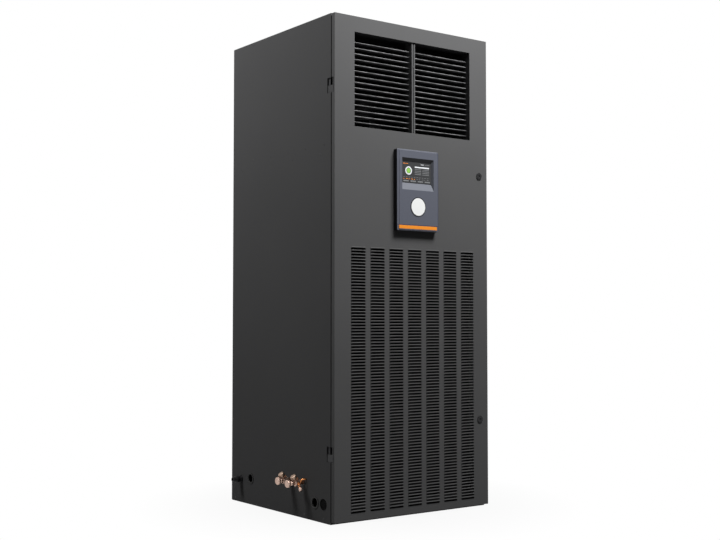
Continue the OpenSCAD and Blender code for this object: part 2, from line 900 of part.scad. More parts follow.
module fan_bracket() {
    top = motor_z + motor_h;
    color("silver")
        translate([0, fan_y, 0]) {
            translate([0, 0, top])
                linear_extrude(4)
                    difference() {
                        square([2 * leg_x + 24, 2 * leg_x + 24], center = true);
                        for (a = [0:3])
                            rotate([0, 0, a * 90]) translate([leg_x, 0]) circle(leg_x - 95);
                    }
            for (x = [-1, 1], y = [-1, 1])
                translate([x * leg_x, y * leg_x, deck_z]) {
                    cylinder(r = 8, h = top - deck_z + eps);
                    cylinder(r = 14, h = 4);
                }
        }
}

// Two sheathed heating elements under the deck, bent back on themselves
module reheat_elements() {
    z = deck_z - deck_edge - element_drop;
    low_z = z - element_gap + 10;
    x = inner_x - 1;
    turn_x = 60 - x;
    plate = 16;
    color("#77716a")
        for (i = [0, 1])
            translate([0, fan_y + (i + 0.3) * element_gap, 0]) {
                pipe([[x, 0, z], [turn_x, 0, z], [turn_x, 0, low_z], [x, 0, low_z]],
                    element_r, 4 * element_r);
                box([x - 4, -plate, low_z - plate], [x + 1, plate, z + plate]);
            }
}

// ---- Electrical box ----

module control_box() {
    wall = 1.5;
    color("lightgray")
        difference() {
            box([-box_x, box_y, box_z], [box_x, box_y + box_d, box_z + box_h]);
            box([-box_x + wall, box_y - 1, box_z + wall],
                [box_x - wall, box_y + box_d - wall, box_z + box_h - wall]);
        }
}

module control_cover() {
    color("#3b3b3d")
        difference() {
            union() {
                box([-box_x - 2, box_y - 1.5, box_z - 2], [box_x + 2, box_y, box_z + box_h + 2]);
                for (x = [-1, 1], z = [box_z + 14, box_z + box_h - 14])
                    bar_y([x * (box_x - 14), box_y - 3.5, z], 4, 2);
            }
            bar_y([box_x - 90, box_y - 5, box_z + box_h / 2], 8, 10);
        }
}

// A top-hat rail along the back of the box
module din_rail() {
    wall = 1;
    half = 12;
    wing = 17.5;
    color("silver")
        translate([-box_x + 30, rail_y, box_z + box_h / 2])
            rotate([90, 0, 90])
                linear_extrude(2 * box_x - 160)
                    polygon([[0, -half], [0, half], [wall - rail_d, half], [wall - rail_d, wing],
                        [-rail_d, wing], [-rail_d, half - wall], [-wall, half - wall], [-wall, wall - half],
                        [-rail_d, wall - half], [-rail_d, -wing], [wall - rail_d, -wing],
                        [wall - rail_d, -half]]);
}

// Stepped blocks side by side on the rail
module contactors() {
    step_h = 18;
    step_d = 20;
    color("#d8d8d4")
        for (i = [0:4])
            translate([-box_x + 50 + i * relay_pitch, rail_y - rail_d - seat - relay_d, box_z + box_h / 2])
                difference() {
                    translate([0, 0, -relay_h / 2]) cube([relay_w, relay_d, relay_h]);
                    for (end = [-relay_h / 2 - 1, relay_h / 2 - step_h])
                        translate([-1, -1, end]) cube([relay_w + 2, step_d + 1, step_h + 1]);
                }
}

module isolator_plate() {
    y = box_y - 1.5;
    color("gold")
        difference() {
            translate([box_x - 90, y, box_z + box_h / 2])
                rotate([90, 0, 0]) linear_extrude(3) rounded(60, 60, 4);
            bar_y([box_x - 90, y - 5, box_z + box_h / 2], 8, 10);
        }
}

module isolator_knob() {
    y = box_y - 1.5 - 3 - seat;
    color("crimson")
        translate([box_x - 90, y, box_z + box_h / 2])
            rotate([90, 0, 0]) {
                difference() {
                    cylinder(r = knob_r, h = 7);
                    for (side = [-1, 1])
                        translate([side * (knob_r + 2), 0, 3]) cylinder(r = knob_r * 0.62, h = 6);
                }
                translate([0, 0, -20]) cylinder(r = 7.6, h = 21);
            }
}

// ---- Hinges ----

module cabinet_hinge_leaves() {
    half = hinge_h / 2;
    color("silver")
        for (z = hinge_z)
            difference() {
                union() {
                    bar_z([hinge_x, hinge_y, z - half], barrel_r, half - 0.15);
                    box([-inner_x, hinge_y, z - half], [-inner_x + leaf_t, post_y + post_w - 4, z - 0.15]);
                }
                bar_z([hinge_x, hinge_y, z - half - 1], pin_r, half + 2);
            }
}

module hinge_pins() {
    half = hinge_h / 2;
    color("silver")
        for (z = hinge_z)
            bar_z([hinge_x, hinge_y, z - half], pin_r, hinge_h - 4);
}

module door_hinge_leaves() {
    half = hinge_h / 2;
    color("silver")
        for (z = hinge_z)
            difference() {
                union() {
                    bar_z([hinge_x, hinge_y, z + 0.15], barrel_r, half - 0.15);
                    box([hinge_x - 2, door_in_y, z + 0.15], [hinge_x + 2, hinge_y, z + half]);
                    box([hinge_x - 2, door_in_y, z + 0.15], [hinge_x + leaf_w, door_in_y + leaf_t, z + half]);
                }
                bar_z([hinge_x, hinge_y, z - 1], pin_r + pin_clear, half + 2);
            }
}

// ---- Screws that fix the side, top and rear panels ----

function row_y(i) = front_y + screw_first + i * screw_pitch;

// Depth and height of each screw in a side panel: top edge, the deck's two rows, base
side_screws = [
    for (i = [0:4]) [row_y(i), cab_h - top_flange / 2],
    for (i = [0:5]) [row_y(i), deck_z - deck_screw_edge],
    for (i = [0:3]) [front_y + deck_screw_first + i * deck_screw_pitch, deck_z - deck_edge + deck_screw_edge],
    for (i = [0, 1, 3, 5]) [row_y(i), screw_edge]];

module panel_screws() {
    color("#2e2e30") {
        for (place = side_screws, x = [-half_w - screw_rise, half_w])
            bar_x([x, place[0], place[1]], screw_r, screw_rise);
        for (i = [-2:2], z = [screw_edge, deck_z - deck_screw_edge, cab_h - screw_edge])
            bar_y([i * rear_screw_pitch, rear_y, z], screw_r, screw_rise);
    }
}

// ---- Door ----

module door_skin() {
    hinge_cut = hinge_h / 2 + 1;
    fold_x = half_w - door_fold;
    hollow_x = half_w - door_t;
    cut_y = door_back_y + 1;
    color("#474749")
        difference() {
            box([-half_w, front_y, door_low], [half_w, door_back_y, door_top]);
            box([-hollow_x, door_in_y, door_low + door_t],
                [hollow_x, door_back_y - door_t, door_top - door_t]);
            box([-fold_x, door_in_y, door_low + door_fold], [fold_x, cut_y, door_top - door_fold]);
            box([-outlet_x, front_y - 1, outlet_z], [outlet_x, door_in_y + 1, outlet_top]);
            box([-louvre_x, front_y - 1, louvre_low], [louvre_x, door_in_y + 1, louvre_high]);
            translate([0, 0, display_z + display_h / 2])
                box([-display_back_w / 2 - 1, front_y - 1, -display_back_h / 2 - 1],
                    [display_back_w / 2 + 1, door_in_y + 1, display_back_h / 2 + 1]);
            for (z = latch_z)
                bar_y([latch_x, front_y - 1, z], shank_r + seat, door_t + 2);
            for (z = hinge_z)
                box([-half_w - 1, front_y + 5, z - hinge_cut], [-fold_x + 2, cut_y, z + hinge_cut]);
        }
}

// Rows of sloping lips behind upright webs, as one pressed panel
module intake_louvres() {
    web = column_pitch - louvre_w;
    lip_t = 1.2;
    color("#474749") {
        for (r = [0:louvre_rows - 1])
            translate([-field_w / 2 - louvre_margin / 2, front_y + 0.1, louvre_z + r * louvre_pitch])
                rotate([90, 0, 90]) linear_extrude(field_w + louvre_margin)
                    polygon([[lip_slope, 0], [lip_slope + lip_t, 0], [lip_t, lip_h],
                        [0, lip_h], [0, lip_h - 1]]);
        for (c = [0:louvre_columns - 2])
            translate([-field_w / 2 + louvre_w + c * column_pitch, front_y, louvre_low])
                cube([web, door_t, louvre_high - louvre_low]);
        for (side = [0, 1])
            mirror([side, 0, 0])
                box([-louvre_x, front_y, louvre_low], [-field_w / 2, door_in_y, louvre_high]);
        box([-louvre_x, front_y, louvre_low], [louvre_x, door_in_y, louvre_z]);
        box([-louvre_x, front_y, louvre_high - louvre_margin], [louvre_x, door_in_y, louvre_high]);
    }
}

// Hat channels across the door's back
module door_stiffeners() {
    deep = door_depth - door_t - 3;
    wide = 26;
    brim = 5;
    x = half_w - 36;
    wall = 1.5;
    color("#474749")
        for (z = [louvre_high + 5, outlet_z - wide - flange_w - 4])
            translate([-x, door_in_y, z])
                rotate([90, 0, 90]) linear_extrude(2 * x)
                    polygon([[0, 0], [wall, 0], [wall, brim], [deep, brim], [deep, wide - brim],
                        [wall, wide - brim], [wall, wide], [0, wide], [0, wide - brim - wall],
                        [deep - wall, wide - brim - wall], [deep - wall, brim + wall], [0, brim + wall]]);
}

// ---- Discharge grille ----

module grille_frame() {
    wall = 1.5;
    x = outlet_x + wall;
    low = outlet_z - wall;
    high = outlet_top + wall;
    color("#2c2c2e")
        difference() {
            union() {
                box([-outlet_x - flange_w, door_in_y, outlet_z - flange_w],
                    [outlet_x + flange_w, door_in_y + wall, outlet_top + flange_w]);
                box([-x, door_in_y, low], [x, frame_back_y, high]);
            }
            box([-outlet_x, door_in_y - 1, outlet_z], [outlet_x, frame_back_y + 1, outlet_top]);
        }
}

// One bank of blades: each has a blunt nose and thins towards its tail
module blade_bank(x0, x1) {
    tail = 1.2;
    for (i = [0:blade_count - 1])
        translate([x0, blade_y, first_blade_z + i * blade_pitch])
            rotate([90, 0, 90]) linear_extrude(x1 - x0) {
                translate([blade_nose / 2, 0]) circle(blade_nose / 2);
                polygon([[blade_nose / 2, -blade_nose / 2], [blade_nose * 1.5, -blade_nose / 2],
                    [blade_d, -tail / 2], [blade_d, tail / 2], [blade_nose * 1.5, blade_nose / 2],
                    [blade_nose / 2, blade_nose / 2]]);
            }
}

module blades_left() {
    color("#5a5a5c") blade_bank(-outlet_x, -mullion_w / 2);
}

module blades_right() {
    color("#5a5a5c") blade_bank(mullion_w / 2, outlet_x);
}

// A channel that opens forwards, with two screws in it
module grille_mullion() {
    wall = 1.5;
    lip = 6;
    screw_in = 88;
    head_h = 2;
    deep = frame_back_y - 3 - mullion_y;
    color("#5a5a5c") {
        translate([-mullion_w / 2, mullion_y, outlet_z])
            linear_extrude(outlet_h)
                difference() {
                    square([mullion_w, deep]);
                    translate([wall, wall]) square([mullion_w - 2 * wall, deep - 2 * wall]);
                    translate([lip, -1]) square([mullion_w - 2 * lip, wall + 2]);
                }
        for (z = [outlet_z + screw_in, outlet_top - screw_in])
            bar_y([0, mullion_y - head_h, z], 3.4, head_h + eps);
    }
}

// ---- Display ----

module display_housing() {
    mid_z = display_z + display_h / 2;
    color("#2f3b47")
        difference() {
            union() {
                translate([0, front_y, mid_z])
                    rotate([90, 0, 0])
                        linear_extrude(display_proud) rounded(display_w, display_h, display_round);
                translate([0, 0, mid_z])
                    box([-display_back_w / 2, front_y - eps, -display_back_h / 2],
                        [display_back_w / 2, door_back_y, display_back_h / 2]);
            }
            hull() {
                box([-window_w / 2, display_y - 1, window_z], [window_w / 2, display_y, window_z + window_h]);
                box([-window_w / 2 + window_slope, display_y, window_z + window_slope],
                    [window_w / 2 - window_slope, display_y + window_d, window_z + window_h - window_slope]);
            }
            box([-strip_x, display_y - 1, strip_z], [strip_x, display_y + strip_t, strip_z + strip_h]);
            bar_y([0, display_y - 1, lens_z], lens_r + 2, 2);
        }
}

module display_screen() {
    color("#101418")
        box([-window_w / 2 + window_slope, display_y + window_d - 1.5, window_z + window_slope],
            [window_w / 2 - window_slope, display_y + window_d, window_z + window_h - window_slope]);
}

module status_lens() {
    color("white")
        bar_y([0, display_y - 1, lens_z], lens_r, 2);
}

module accent_strip() {
    color("darkorange")
        box([-strip_x, display_y - strip_rise, strip_z], [strip_x, display_y + strip_t, strip_z + strip_h]);
}

// ---- Latches ----

// A quarter-turn latch with its tongue upright, which leaves the door free
module latch(z) {
    tongue_y = cab_y + panel_t + 0.6;
    color("#1e1e20")
        translate([latch_x, 0, z]) {
            difference() {
                bar_y([0, front_y - 3, 0], latch_r, 3 - seat);
                bar_y([0, front_y - 4, 0], 4.5, 3);
            }
            bar_y([0, front_y - seat - 1, 0], shank_r, tongue_y - front_y + seat + 1);
            translate([0, tongue_y, 0])
                rotate([-90, 0, 0]) linear_extrude(2.5) {
                    circle(9);
                    translate([-8, -tongue_l]) square([16, tongue_l]);
                }
            bar_y([0, tongue_y + 2.4, 0], 6, 3, $fn = 6);
        }
}

module latch_lower() {
    latch(latch_z[0]);
}

module latch_upper() {
    latch(latch_z[1]);
}

base_tray();
left_panel();
right_panel();
rear_panel();
top_panel();
front_post_left();
front_post_right();
front_rails();
fan_deck();
door_gasket();
filter_frame();
filter_media();
filter_channels();
coil_fins();
coil_end_plates();
coil_tubes();
drain_pan();
compressor_shell();
compressor_base();
compressor_mounts();
gas_line();
liquid_line();
suction_line();
filter_drier();
sight_glass();
expansion_valve();
gas_valve();
liquid_valve();
valve_caps();
charging_port();
grommets();
cable_gland();
inlet_ring();
fan_impeller();
fan_motor();
fan_bracket();
reheat_elements();
control_box();
control_cover();
din_rail();
contactors();
isolator_plate();
isolator_knob();
cabinet_hinge_leaves();
hinge_pins();
panel_screws();
door_skin();
intake_louvres();
door_stiffeners();
door_hinge_leaves();
grille_frame();
blades_left();
blades_right();
grille_mullion();
display_housing();
display_screen();
status_lens();
accent_strip();
latch_lower();
latch_upper();
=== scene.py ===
import math

import bmesh
import bpy
from mathutils import Matrix, Vector


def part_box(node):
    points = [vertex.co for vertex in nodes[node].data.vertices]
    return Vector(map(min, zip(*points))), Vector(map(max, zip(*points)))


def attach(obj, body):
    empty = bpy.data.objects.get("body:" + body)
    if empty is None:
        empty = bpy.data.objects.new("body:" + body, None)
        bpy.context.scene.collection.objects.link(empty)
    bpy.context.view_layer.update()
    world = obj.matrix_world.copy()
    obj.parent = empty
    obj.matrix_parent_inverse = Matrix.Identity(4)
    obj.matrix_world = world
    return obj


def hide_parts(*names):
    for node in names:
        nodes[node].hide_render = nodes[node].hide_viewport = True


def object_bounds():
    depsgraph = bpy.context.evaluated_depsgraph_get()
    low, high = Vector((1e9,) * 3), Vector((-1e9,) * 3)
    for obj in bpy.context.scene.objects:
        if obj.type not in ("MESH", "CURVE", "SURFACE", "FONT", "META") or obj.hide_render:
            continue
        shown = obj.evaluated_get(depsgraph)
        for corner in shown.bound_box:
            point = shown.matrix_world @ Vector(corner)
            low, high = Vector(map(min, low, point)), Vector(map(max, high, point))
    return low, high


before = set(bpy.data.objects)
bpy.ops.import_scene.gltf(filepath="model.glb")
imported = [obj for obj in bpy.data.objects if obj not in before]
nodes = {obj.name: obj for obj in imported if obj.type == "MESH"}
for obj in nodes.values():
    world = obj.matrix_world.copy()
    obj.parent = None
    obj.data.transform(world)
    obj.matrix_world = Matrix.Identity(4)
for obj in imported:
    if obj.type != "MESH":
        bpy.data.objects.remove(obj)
cad_low, cad_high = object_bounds()

# ---------------------------------------------------------------------------------------------
# Cabinet sheets. Folded steel panels on a welded base and two front posts, all in one charcoal
# powder coat with a fine texture. Each sheet keeps its solid from the frame and takes the coat.
# ---------------------------------------------------------------------------------------------


def effect_group(name, inputs, outputs):
    """An empty shader node group with float or colour sockets, and its input and output nodes."""
    group = bpy.data.node_groups.new(name, "ShaderNodeTree")
    kinds = {"value": "NodeSocketFloat", "colour": "NodeSocketColor", "normal": "NodeSocketVector"}
    for label, kind, value in inputs:
        socket = group.interface.new_socket(label, in_out="INPUT", socket_type=kinds[kind])
        if value is not None:
            socket.default_value = value
    for label, kind in outputs:
        group.interface.new_socket(label, in_out="OUTPUT", socket_type=kinds[kind])
    return group, group.nodes.new("NodeGroupInput"), group.nodes.new("NodeGroupOutput")


def maths(tree, operation, a, b=None, clamp=False):
    """One Math node fed by sockets or plain numbers."""
    node = tree.nodes.new("ShaderNodeMath")
    node.operation = operation
    node.use_clamp = clamp
    for slot_number, value in enumerate((a, b)):
        if value is None:
            continue
        if isinstance(value, (int, float)):
            node.inputs[slot_number].default_value = value
        else:
            tree.links.new(value, node.inputs[slot_number])
    return node.outputs[0]


def spread(tree, value, low, high, to_low=0.0, to_high=1.0):
    """A value moved from one range to another and held inside it."""
    node = tree.nodes.new("ShaderNodeMapRange")
    tree.links.new(value, node.inputs["Value"])
    node.inputs["From Min"].default_value = low
    node.inputs["From Max"].default_value = high
    node.inputs["To Min"].default_value = to_low
    node.inputs["To Max"].default_value = to_high
    return node.outputs["Result"]


def blended(tree, share, a, b):
    """Two colours mixed by a share."""
    node = tree.nodes.new("ShaderNodeMix")
    node.data_type = "RGBA"
    for socket, value in ((node.inputs[0], share), (node.inputs[6], a), (node.inputs[7], b)):
        if isinstance(value, (int, float)):
            socket.default_value = value
        elif isinstance(value, tuple):
            socket.default_value = (*value, 1.0)
        else:
            tree.links.new(value, socket)
    return node.outputs[2]


def noise(tree, place, scale, detail=2.0, roughness=0.5):
    """A noise value over a place socket, scale in cycles a metre."""
    node = tree.nodes.new("ShaderNodeTexNoise")
    node.inputs["Scale"].default_value = scale
    node.inputs["Detail"].default_value = detail
    node.inputs["Roughness"].default_value = roughness
    tree.links.new(place, node.inputs["Vector"])
    return node.outputs["Fac"]


# Fine texture of baked powder: a small pebble, with slow patches of depth in its colour
powder_grain, came_in, goes_out = effect_group(
    "powder_grain",
    [("Colour", "colour", (0.1, 0.1, 0.1, 1)), ("Mottle", "value", 0.1), ("Pebble", "value", 900.0),
     ("Base Roughness", "value", 0.5)],
    [("Colour", "colour"), ("Height", "value"), ("Roughness", "value")])
spot = powder_grain.nodes.new("ShaderNodeTexCoord").outputs["Object"]
pebble = powder_grain.nodes.new("ShaderNodeTexNoise")
pebble.inputs["Detail"].default_value = 1.0
powder_grain.links.new(spot, pebble.inputs["Vector"])
powder_grain.links.new(came_in.outputs["Pebble"], pebble.inputs["Scale"])
patches = noise(powder_grain, spot, 2.3, 3.0)
speck = noise(powder_grain, spot, 420.0, 1.0)
tone = maths(powder_grain, "ADD", spread(powder_grain, patches, 0.3, 0.7, -0.5, 0.5),
             spread(powder_grain, speck, 0.3, 0.7, -0.6, 0.6))
level = maths(powder_grain, "ADD", maths(powder_grain, "MULTIPLY", tone, came_in.outputs["Mottle"]), 1.0)
shade = powder_grain.nodes.new("ShaderNodeVectorMath")
shade.operation = "SCALE"
powder_grain.links.new(came_in.outputs["Colour"], shade.inputs[0])
powder_grain.links.new(level, shade.inputs["Scale"])
powder_grain.links.new(shade.outputs[0], goes_out.inputs["Colour"])
powder_grain.links.new(pebble.outputs["Fac"], goes_out.inputs["Height"])
powder_grain.links.new(
    maths(powder_grain, "ADD", came_in.outputs["Base Roughness"],
          spread(powder_grain, patches, 0.3, 0.7, -0.04, 0.05)),
    goes_out.inputs["Roughness"])

# Edges: where the coat thins over a fold or a cut edge it is rubbed a little brighter, and the same lighter edge
# is also a painted highlight of light catching the edge
rubbed_and_highlit_edge, came_in, goes_out = effect_group(
    "rubbed_and_highlit_edge",
    [("Radius", "value", 0.001), ("Amount", "value", 0.5)],
    [("Mask", "value"), ("Normal", "normal")])
rounding = rubbed_and_highlit_edge.nodes.new("ShaderNodeBevel")
rounding.samples = 4
rubbed_and_highlit_edge.links.new(came_in.outputs["Radius"], rounding.inputs["Radius"])
flat = rubbed_and_highlit_edge.nodes.new("ShaderNodeNewGeometry")
turn = rubbed_and_highlit_edge.nodes.new("ShaderNodeVectorMath")
turn.operation = "DOT_PRODUCT"
rubbed_and_highlit_edge.links.new(rounding.outputs["Normal"], turn.inputs[0])
rubbed_and_highlit_edge.links.new(flat.outputs["Normal"], turn.inputs[1])
edge_share = spread(rubbed_and_highlit_edge, turn.outputs["Value"], 0.99, 0.8)
breaks = noise(rubbed_and_highlit_edge, rubbed_and_highlit_edge.nodes.new("ShaderNodeTexCoord").outputs["Object"], 60.0, 3.0)
rubbed_and_highlit_edge.links.new(
    maths(rubbed_and_highlit_edge, "MULTIPLY",
          maths(rubbed_and_highlit_edge, "MULTIPLY", edge_share, spread(rubbed_and_highlit_edge, breaks, 0.35, 0.65)),
          came_in.outputs["Amount"]),
    goes_out.inputs["Mask"])
rubbed_and_highlit_edge.links.new(rounding.outputs["Normal"], goes_out.inputs["Normal"])

# Dust: a thin pale film on what faces up, in patches
settled_dust, came_in, goes_out = effect_group(
    "settled_dust", [("Amount", "value", 0.3)], [("Mask", "value")])
facing = settled_dust.nodes.new("ShaderNodeNewGeometry")
parts = settled_dust.nodes.new("ShaderNodeSeparateXYZ")
settled_dust.links.new(facing.outputs["Normal"], parts.inputs[0])
drift = noise(settled_dust, settled_dust.nodes.new("ShaderNodeTexCoord").outputs["Object"], 14.0, 4.0)
settled_dust.links.new(
    maths(settled_dust, "MULTIPLY",
          maths(settled_dust, "MULTIPLY", spread(settled_dust, parts.outputs["Z"], 0.4, 1.0),
                spread(settled_dust, drift, 0.3, 0.75)),
          came_in.outputs["Amount"]),
    goes_out.inputs["Mask"])


def placed(tree, group, **values):
    """A shared effect set into a material, with this material's own values."""
    node = tree.nodes.new("ShaderNodeGroup")
    node.node_tree = group
    for label, value in values.items():
        node.inputs[label.replace("_", " ")].default_value = value
    return node.outputs


def finish(name, colour, metallic=0.0, roughness=0.5, pebble_size=900.0, pebble_depth=0.00006,
           mottle=0.08, wear_and_highlight=0.35, dust=0.25, specular=0.2, edge=0.0009):
    """A worked surface: grain or spangle, edges lightened by rubbed wear and by a painted highlight, and a little
    settled dust.
    """
    material = bpy.data.materials.new(name)
    material.use_nodes = True
    tree = material.node_tree
    shader = tree.nodes["Principled BSDF"]
    grain = placed(tree, powder_grain, Colour=(*colour, 1), Mottle=mottle, Pebble=pebble_size,
                   Base_Roughness=roughness)
    edges = placed(tree, rubbed_and_highlit_edge, Radius=edge, Amount=wear_and_highlight)
    film = placed(tree, settled_dust, Amount=dust)
    # Lighter edge colour: partly rubbed wear, partly a painted highlight where light catches the edge
    bright = tuple(min(1.0, c * 2.2 + 0.03) for c in colour)
    worn_and_highlit = blended(tree, edges["Mask"], grain["Colour"], bright)
    tree.links.new(blended(tree, film["Mask"], worn_and_highlit, (0.20, 0.19, 0.175)), shader.inputs["Base Color"])
    tree.links.new(maths(tree, "ADD", grain["Roughness"], maths(tree, "MULTIPLY", film["Mask"], 0.3), True),
                   shader.inputs["Roughness"])
    bump = tree.nodes.new("ShaderNodeBump")
    bump.inputs["Distance"].default_value = pebble_depth
    bump.inputs["Strength"].default_value = 1.0
    tree.links.new(grain["Height"], bump.inputs["Height"])
    tree.links.new(edges["Normal"], bump.inputs["Normal"])
    tree.links.new(bump.outputs[0], shader.inputs["Normal"])
    shader.inputs["Specular IOR Level"].default_value = specular
    shader.inputs["Metallic"].default_value = metallic
    return material


def dress(material, *names):
    """A CAD node keeps its mesh and takes a better finish in its own slots."""
    for name in names:
        for slot in nodes[name].material_slots:
            slot.material = material


cabinet_coat = finish("cabinet_coat", (0.072, 0.072, 0.073), roughness=0.6, dust=0.12, specular=0.015)
dress(cabinet_coat, "left_panel", "right_panel", "rear_panel", "top_panel")
frame_coat = finish("frame_coat", (0.03, 0.03, 0.032), wear_and_highlight=0.25)
dress(frame_coat, "base_tray", "front_post_left", "front_post_right", "front_rails")

# ---------------------------------------------------------------------------------------------
# Panel screws. Pan-head machine screws with a cross recess, in black-coated steel, driven into
# the folded returns of the side and rear panels, one at every place that the frame gives.
# ---------------------------------------------------------------------------------------------

mm = 0.001
screw_head = [(3.2, 0.0), (3.2, 0.35), (2.6, 0.7)]
recess_arms = (1.7, 1.0, 0.55, 1.0)
recess_deep = 0.55


def made(name, bm, *materials):
    """A finished mesh object in the scene from a bmesh, with its normals outwards."""
    bmesh.ops.recalc_face_normals(bm, faces=bm.faces)
    mesh = bpy.data.meshes.new(name)
    bm.to_mesh(mesh)
    bm.free()
    for material in materials:
        mesh.materials.append(material)
    piece = bpy.data.objects.new(name, mesh)
    bpy.context.scene.collection.objects.link(piece)
    return piece


def rings_to_shell(bm, rings, index=0, smooth=False):
    """A closed skin over rings of points that all have the same count."""
    rows = [[bm.verts.new(p) for p in ring] for ring in rings]
    count = len(rows[0])
    faces = [bm.faces.new(rows[0][::-1]), bm.faces.new(rows[-1])]
    for low, high in zip(rows, rows[1:]):
        for i in range(count):
            face = bm.faces.new((low[i], low[(i + 1) % count], high[(i + 1) % count], high[i]))
            face.smooth = smooth
            faces.append(face)
    for face in faces:
        face.material_index = index


def ring(radius, height, count, turn=0.0):
    """Points of one circle about the Z axis."""
    return [Vector((radius * math.cos(turn + math.tau * i / count),
                    radius * math.sin(turn + math.tau * i / count), height)) for i in range(count)]


def turned(bm, profile, place, count=32, index=0, smooth=True):
    """A lathe shape from (radius, height) pairs, set by a matrix."""
    rings_to_shell(bm, [[place @ p for p in ring(r, h, count)] for r, h in profile], index, smooth)


def setting_tree(name, on_grid):
    """Geometry nodes that set one shape on a grid, or on the points of a mesh with a turn each."""
    tree = bpy.data.node_groups.new(name, "GeometryNodeTree")
    tree.interface.new_socket("Geometry", in_out="INPUT", socket_type="NodeSocketGeometry")
    tree.interface.new_socket("Shape", in_out="INPUT", socket_type="NodeSocketObject")
    tree.interface.new_socket("Finish", in_out="INPUT", socket_type="NodeSocketMaterial")
    if on_grid:
        for label, kind in (("Columns", "Int"), ("Rows", "Int"), ("First", "Vector"),
                            ("Column Step", "Vector"), ("Row Step", "Vector")):
            tree.interface.new_socket(label, in_out="INPUT", socket_type="NodeSocket" + kind)
    tree.interface.new_socket("Geometry", in_out="OUTPUT", socket_type="NodeSocketGeometry")
    came = tree.nodes.new("NodeGroupInput").outputs
    shape = tree.nodes.new("GeometryNodeObjectInfo")
    tree.links.new(came["Shape"], shape.inputs["Object"])
    on_points = tree.nodes.new("GeometryNodeInstanceOnPoints")
    tree.links.new(shape.outputs["Geometry"], on_points.inputs["Instance"])
    joined = tree.nodes.new("GeometryNodeJoinGeometry")
    if on_grid:
        lines = []
        for count, first, step in (("Rows", None, "Row Step"), ("Columns", "First", "Column Step")):
            line = tree.nodes.new("GeometryNodeMeshLine")
            line.mode = "OFFSET"
            tree.links.new(came[count], line.inputs["Count"])
            tree.links.new(came[step], line.inputs["Offset"])
            if first:
                tree.links.new(came[first], line.inputs["Start Location"])
            lines.append(line)
        crossed = tree.nodes.new("GeometryNodeInstanceOnPoints")
        tree.links.new(lines[1].outputs[0], crossed.inputs["Points"])
        tree.links.new(lines[0].outputs[0], crossed.inputs["Instance"])
        spots = tree.nodes.new("GeometryNodeRealizeInstances")
        tree.links.new(crossed.outputs[0], spots.inputs[0])
        tree.links.new(spots.outputs[0], on_points.inputs["Points"])
        tree.links.new(came["Geometry"], joined.inputs[0])
    else:
        turn = tree.nodes.new("GeometryNodeInputNamedAttribute")
        turn.data_type = "FLOAT_VECTOR"
        turn.inputs["Name"].default_value = "turn"
        tree.links.new(turn.outputs[0], on_points.inputs["Rotation"])
        tree.links.new(came["Geometry"], on_points.inputs["Points"])
    tree.links.new(on_points.outputs[0], joined.inputs[0])
    real = tree.nodes.new("GeometryNodeRealizeInstances")
    tree.links.new(joined.outputs[0], real.inputs[0])
    dressed = tree.nodes.new("GeometryNodeSetMaterial")
    tree.links.new(real.outputs[0], dressed.inputs["Geometry"])
    tree.links.new(came["Finish"], dressed.inputs["Material"])
    tree.links.new(dressed.outputs[0], tree.nodes.new("NodeGroupOutput").inputs[0])
    return tree


def set_out(name, host, tree, **values):
    """Runs a setting tree on a host mesh and gives the result as one plain mesh object."""
    modifier = host.modifiers.new("set_out", "NODES")
    modifier.node_group = tree
    labels = {s.name: s.identifier for s in tree.interface.items_tree if s.in_out == "INPUT"}
    for label, value in values.items():
        modifier[labels[label.replace("_", " ")]] = value
    mesh = bpy.data.meshes.new_from_object(host.evaluated_get(bpy.context.evaluated_depsgraph_get()))
    host.modifiers.remove(modifier)
    bpy.data.objects.remove(host)
    bpy.data.objects.remove(values["Shape"])
    mesh.materials.clear()
    mesh.materials.append(values["Finish"])
    for face in mesh.polygons:
        face.material_index = 0
    piece = bpy.data.objects.new(name, mesh)
    bpy.context.scene.collection.objects.link(piece)
    return piece


def islands(name):
    """Low and high corner of every loose piece in a CAD node's mesh."""
    bm = bmesh.new()
    bm.from_mesh(nodes[name].data)
    bmesh.ops.remove_doubles(bm, verts=bm.verts, dist=1e-5)
    left = set(bm.verts)
    found = []
    while left:
        stack = [left.pop()]
        low, high = stack[0].co.copy(), stack[0].co.copy()
        while stack:
            vert = stack.pop()
            low = Vector(map(min, low, vert.co))
            high = Vector(map(max, high, vert.co))
            for edge in vert.link_edges:
                other = edge.other_vert(vert)
                if other in left:
                    left.discard(other)
                    stack.append(other)
        found.append((low, high))
    bm.free()
    return sorted(found, key=lambda pair: tuple(pair[0]))


points_tree = setting_tree("shape_on_points", False)
grid_tree = setting_tree("shape_on_grid", True)

bm = bmesh.new()
head_rings = [ring(r * mm, h * mm, 16) for r, h in screw_head]
for height, size in ((0.8, 1.0), (0.8 - recess_deep, 0.8)):
    head_rings.append([Vector((p.x * recess_arms[i % 4] * size, p.y * recess_arms[i % 4] * size, height * mm))
                       for i, p in enumerate(ring(mm, 0.0, 16))])
rings_to_shell(bm, head_rings)
one_head = made("one_head", bm)

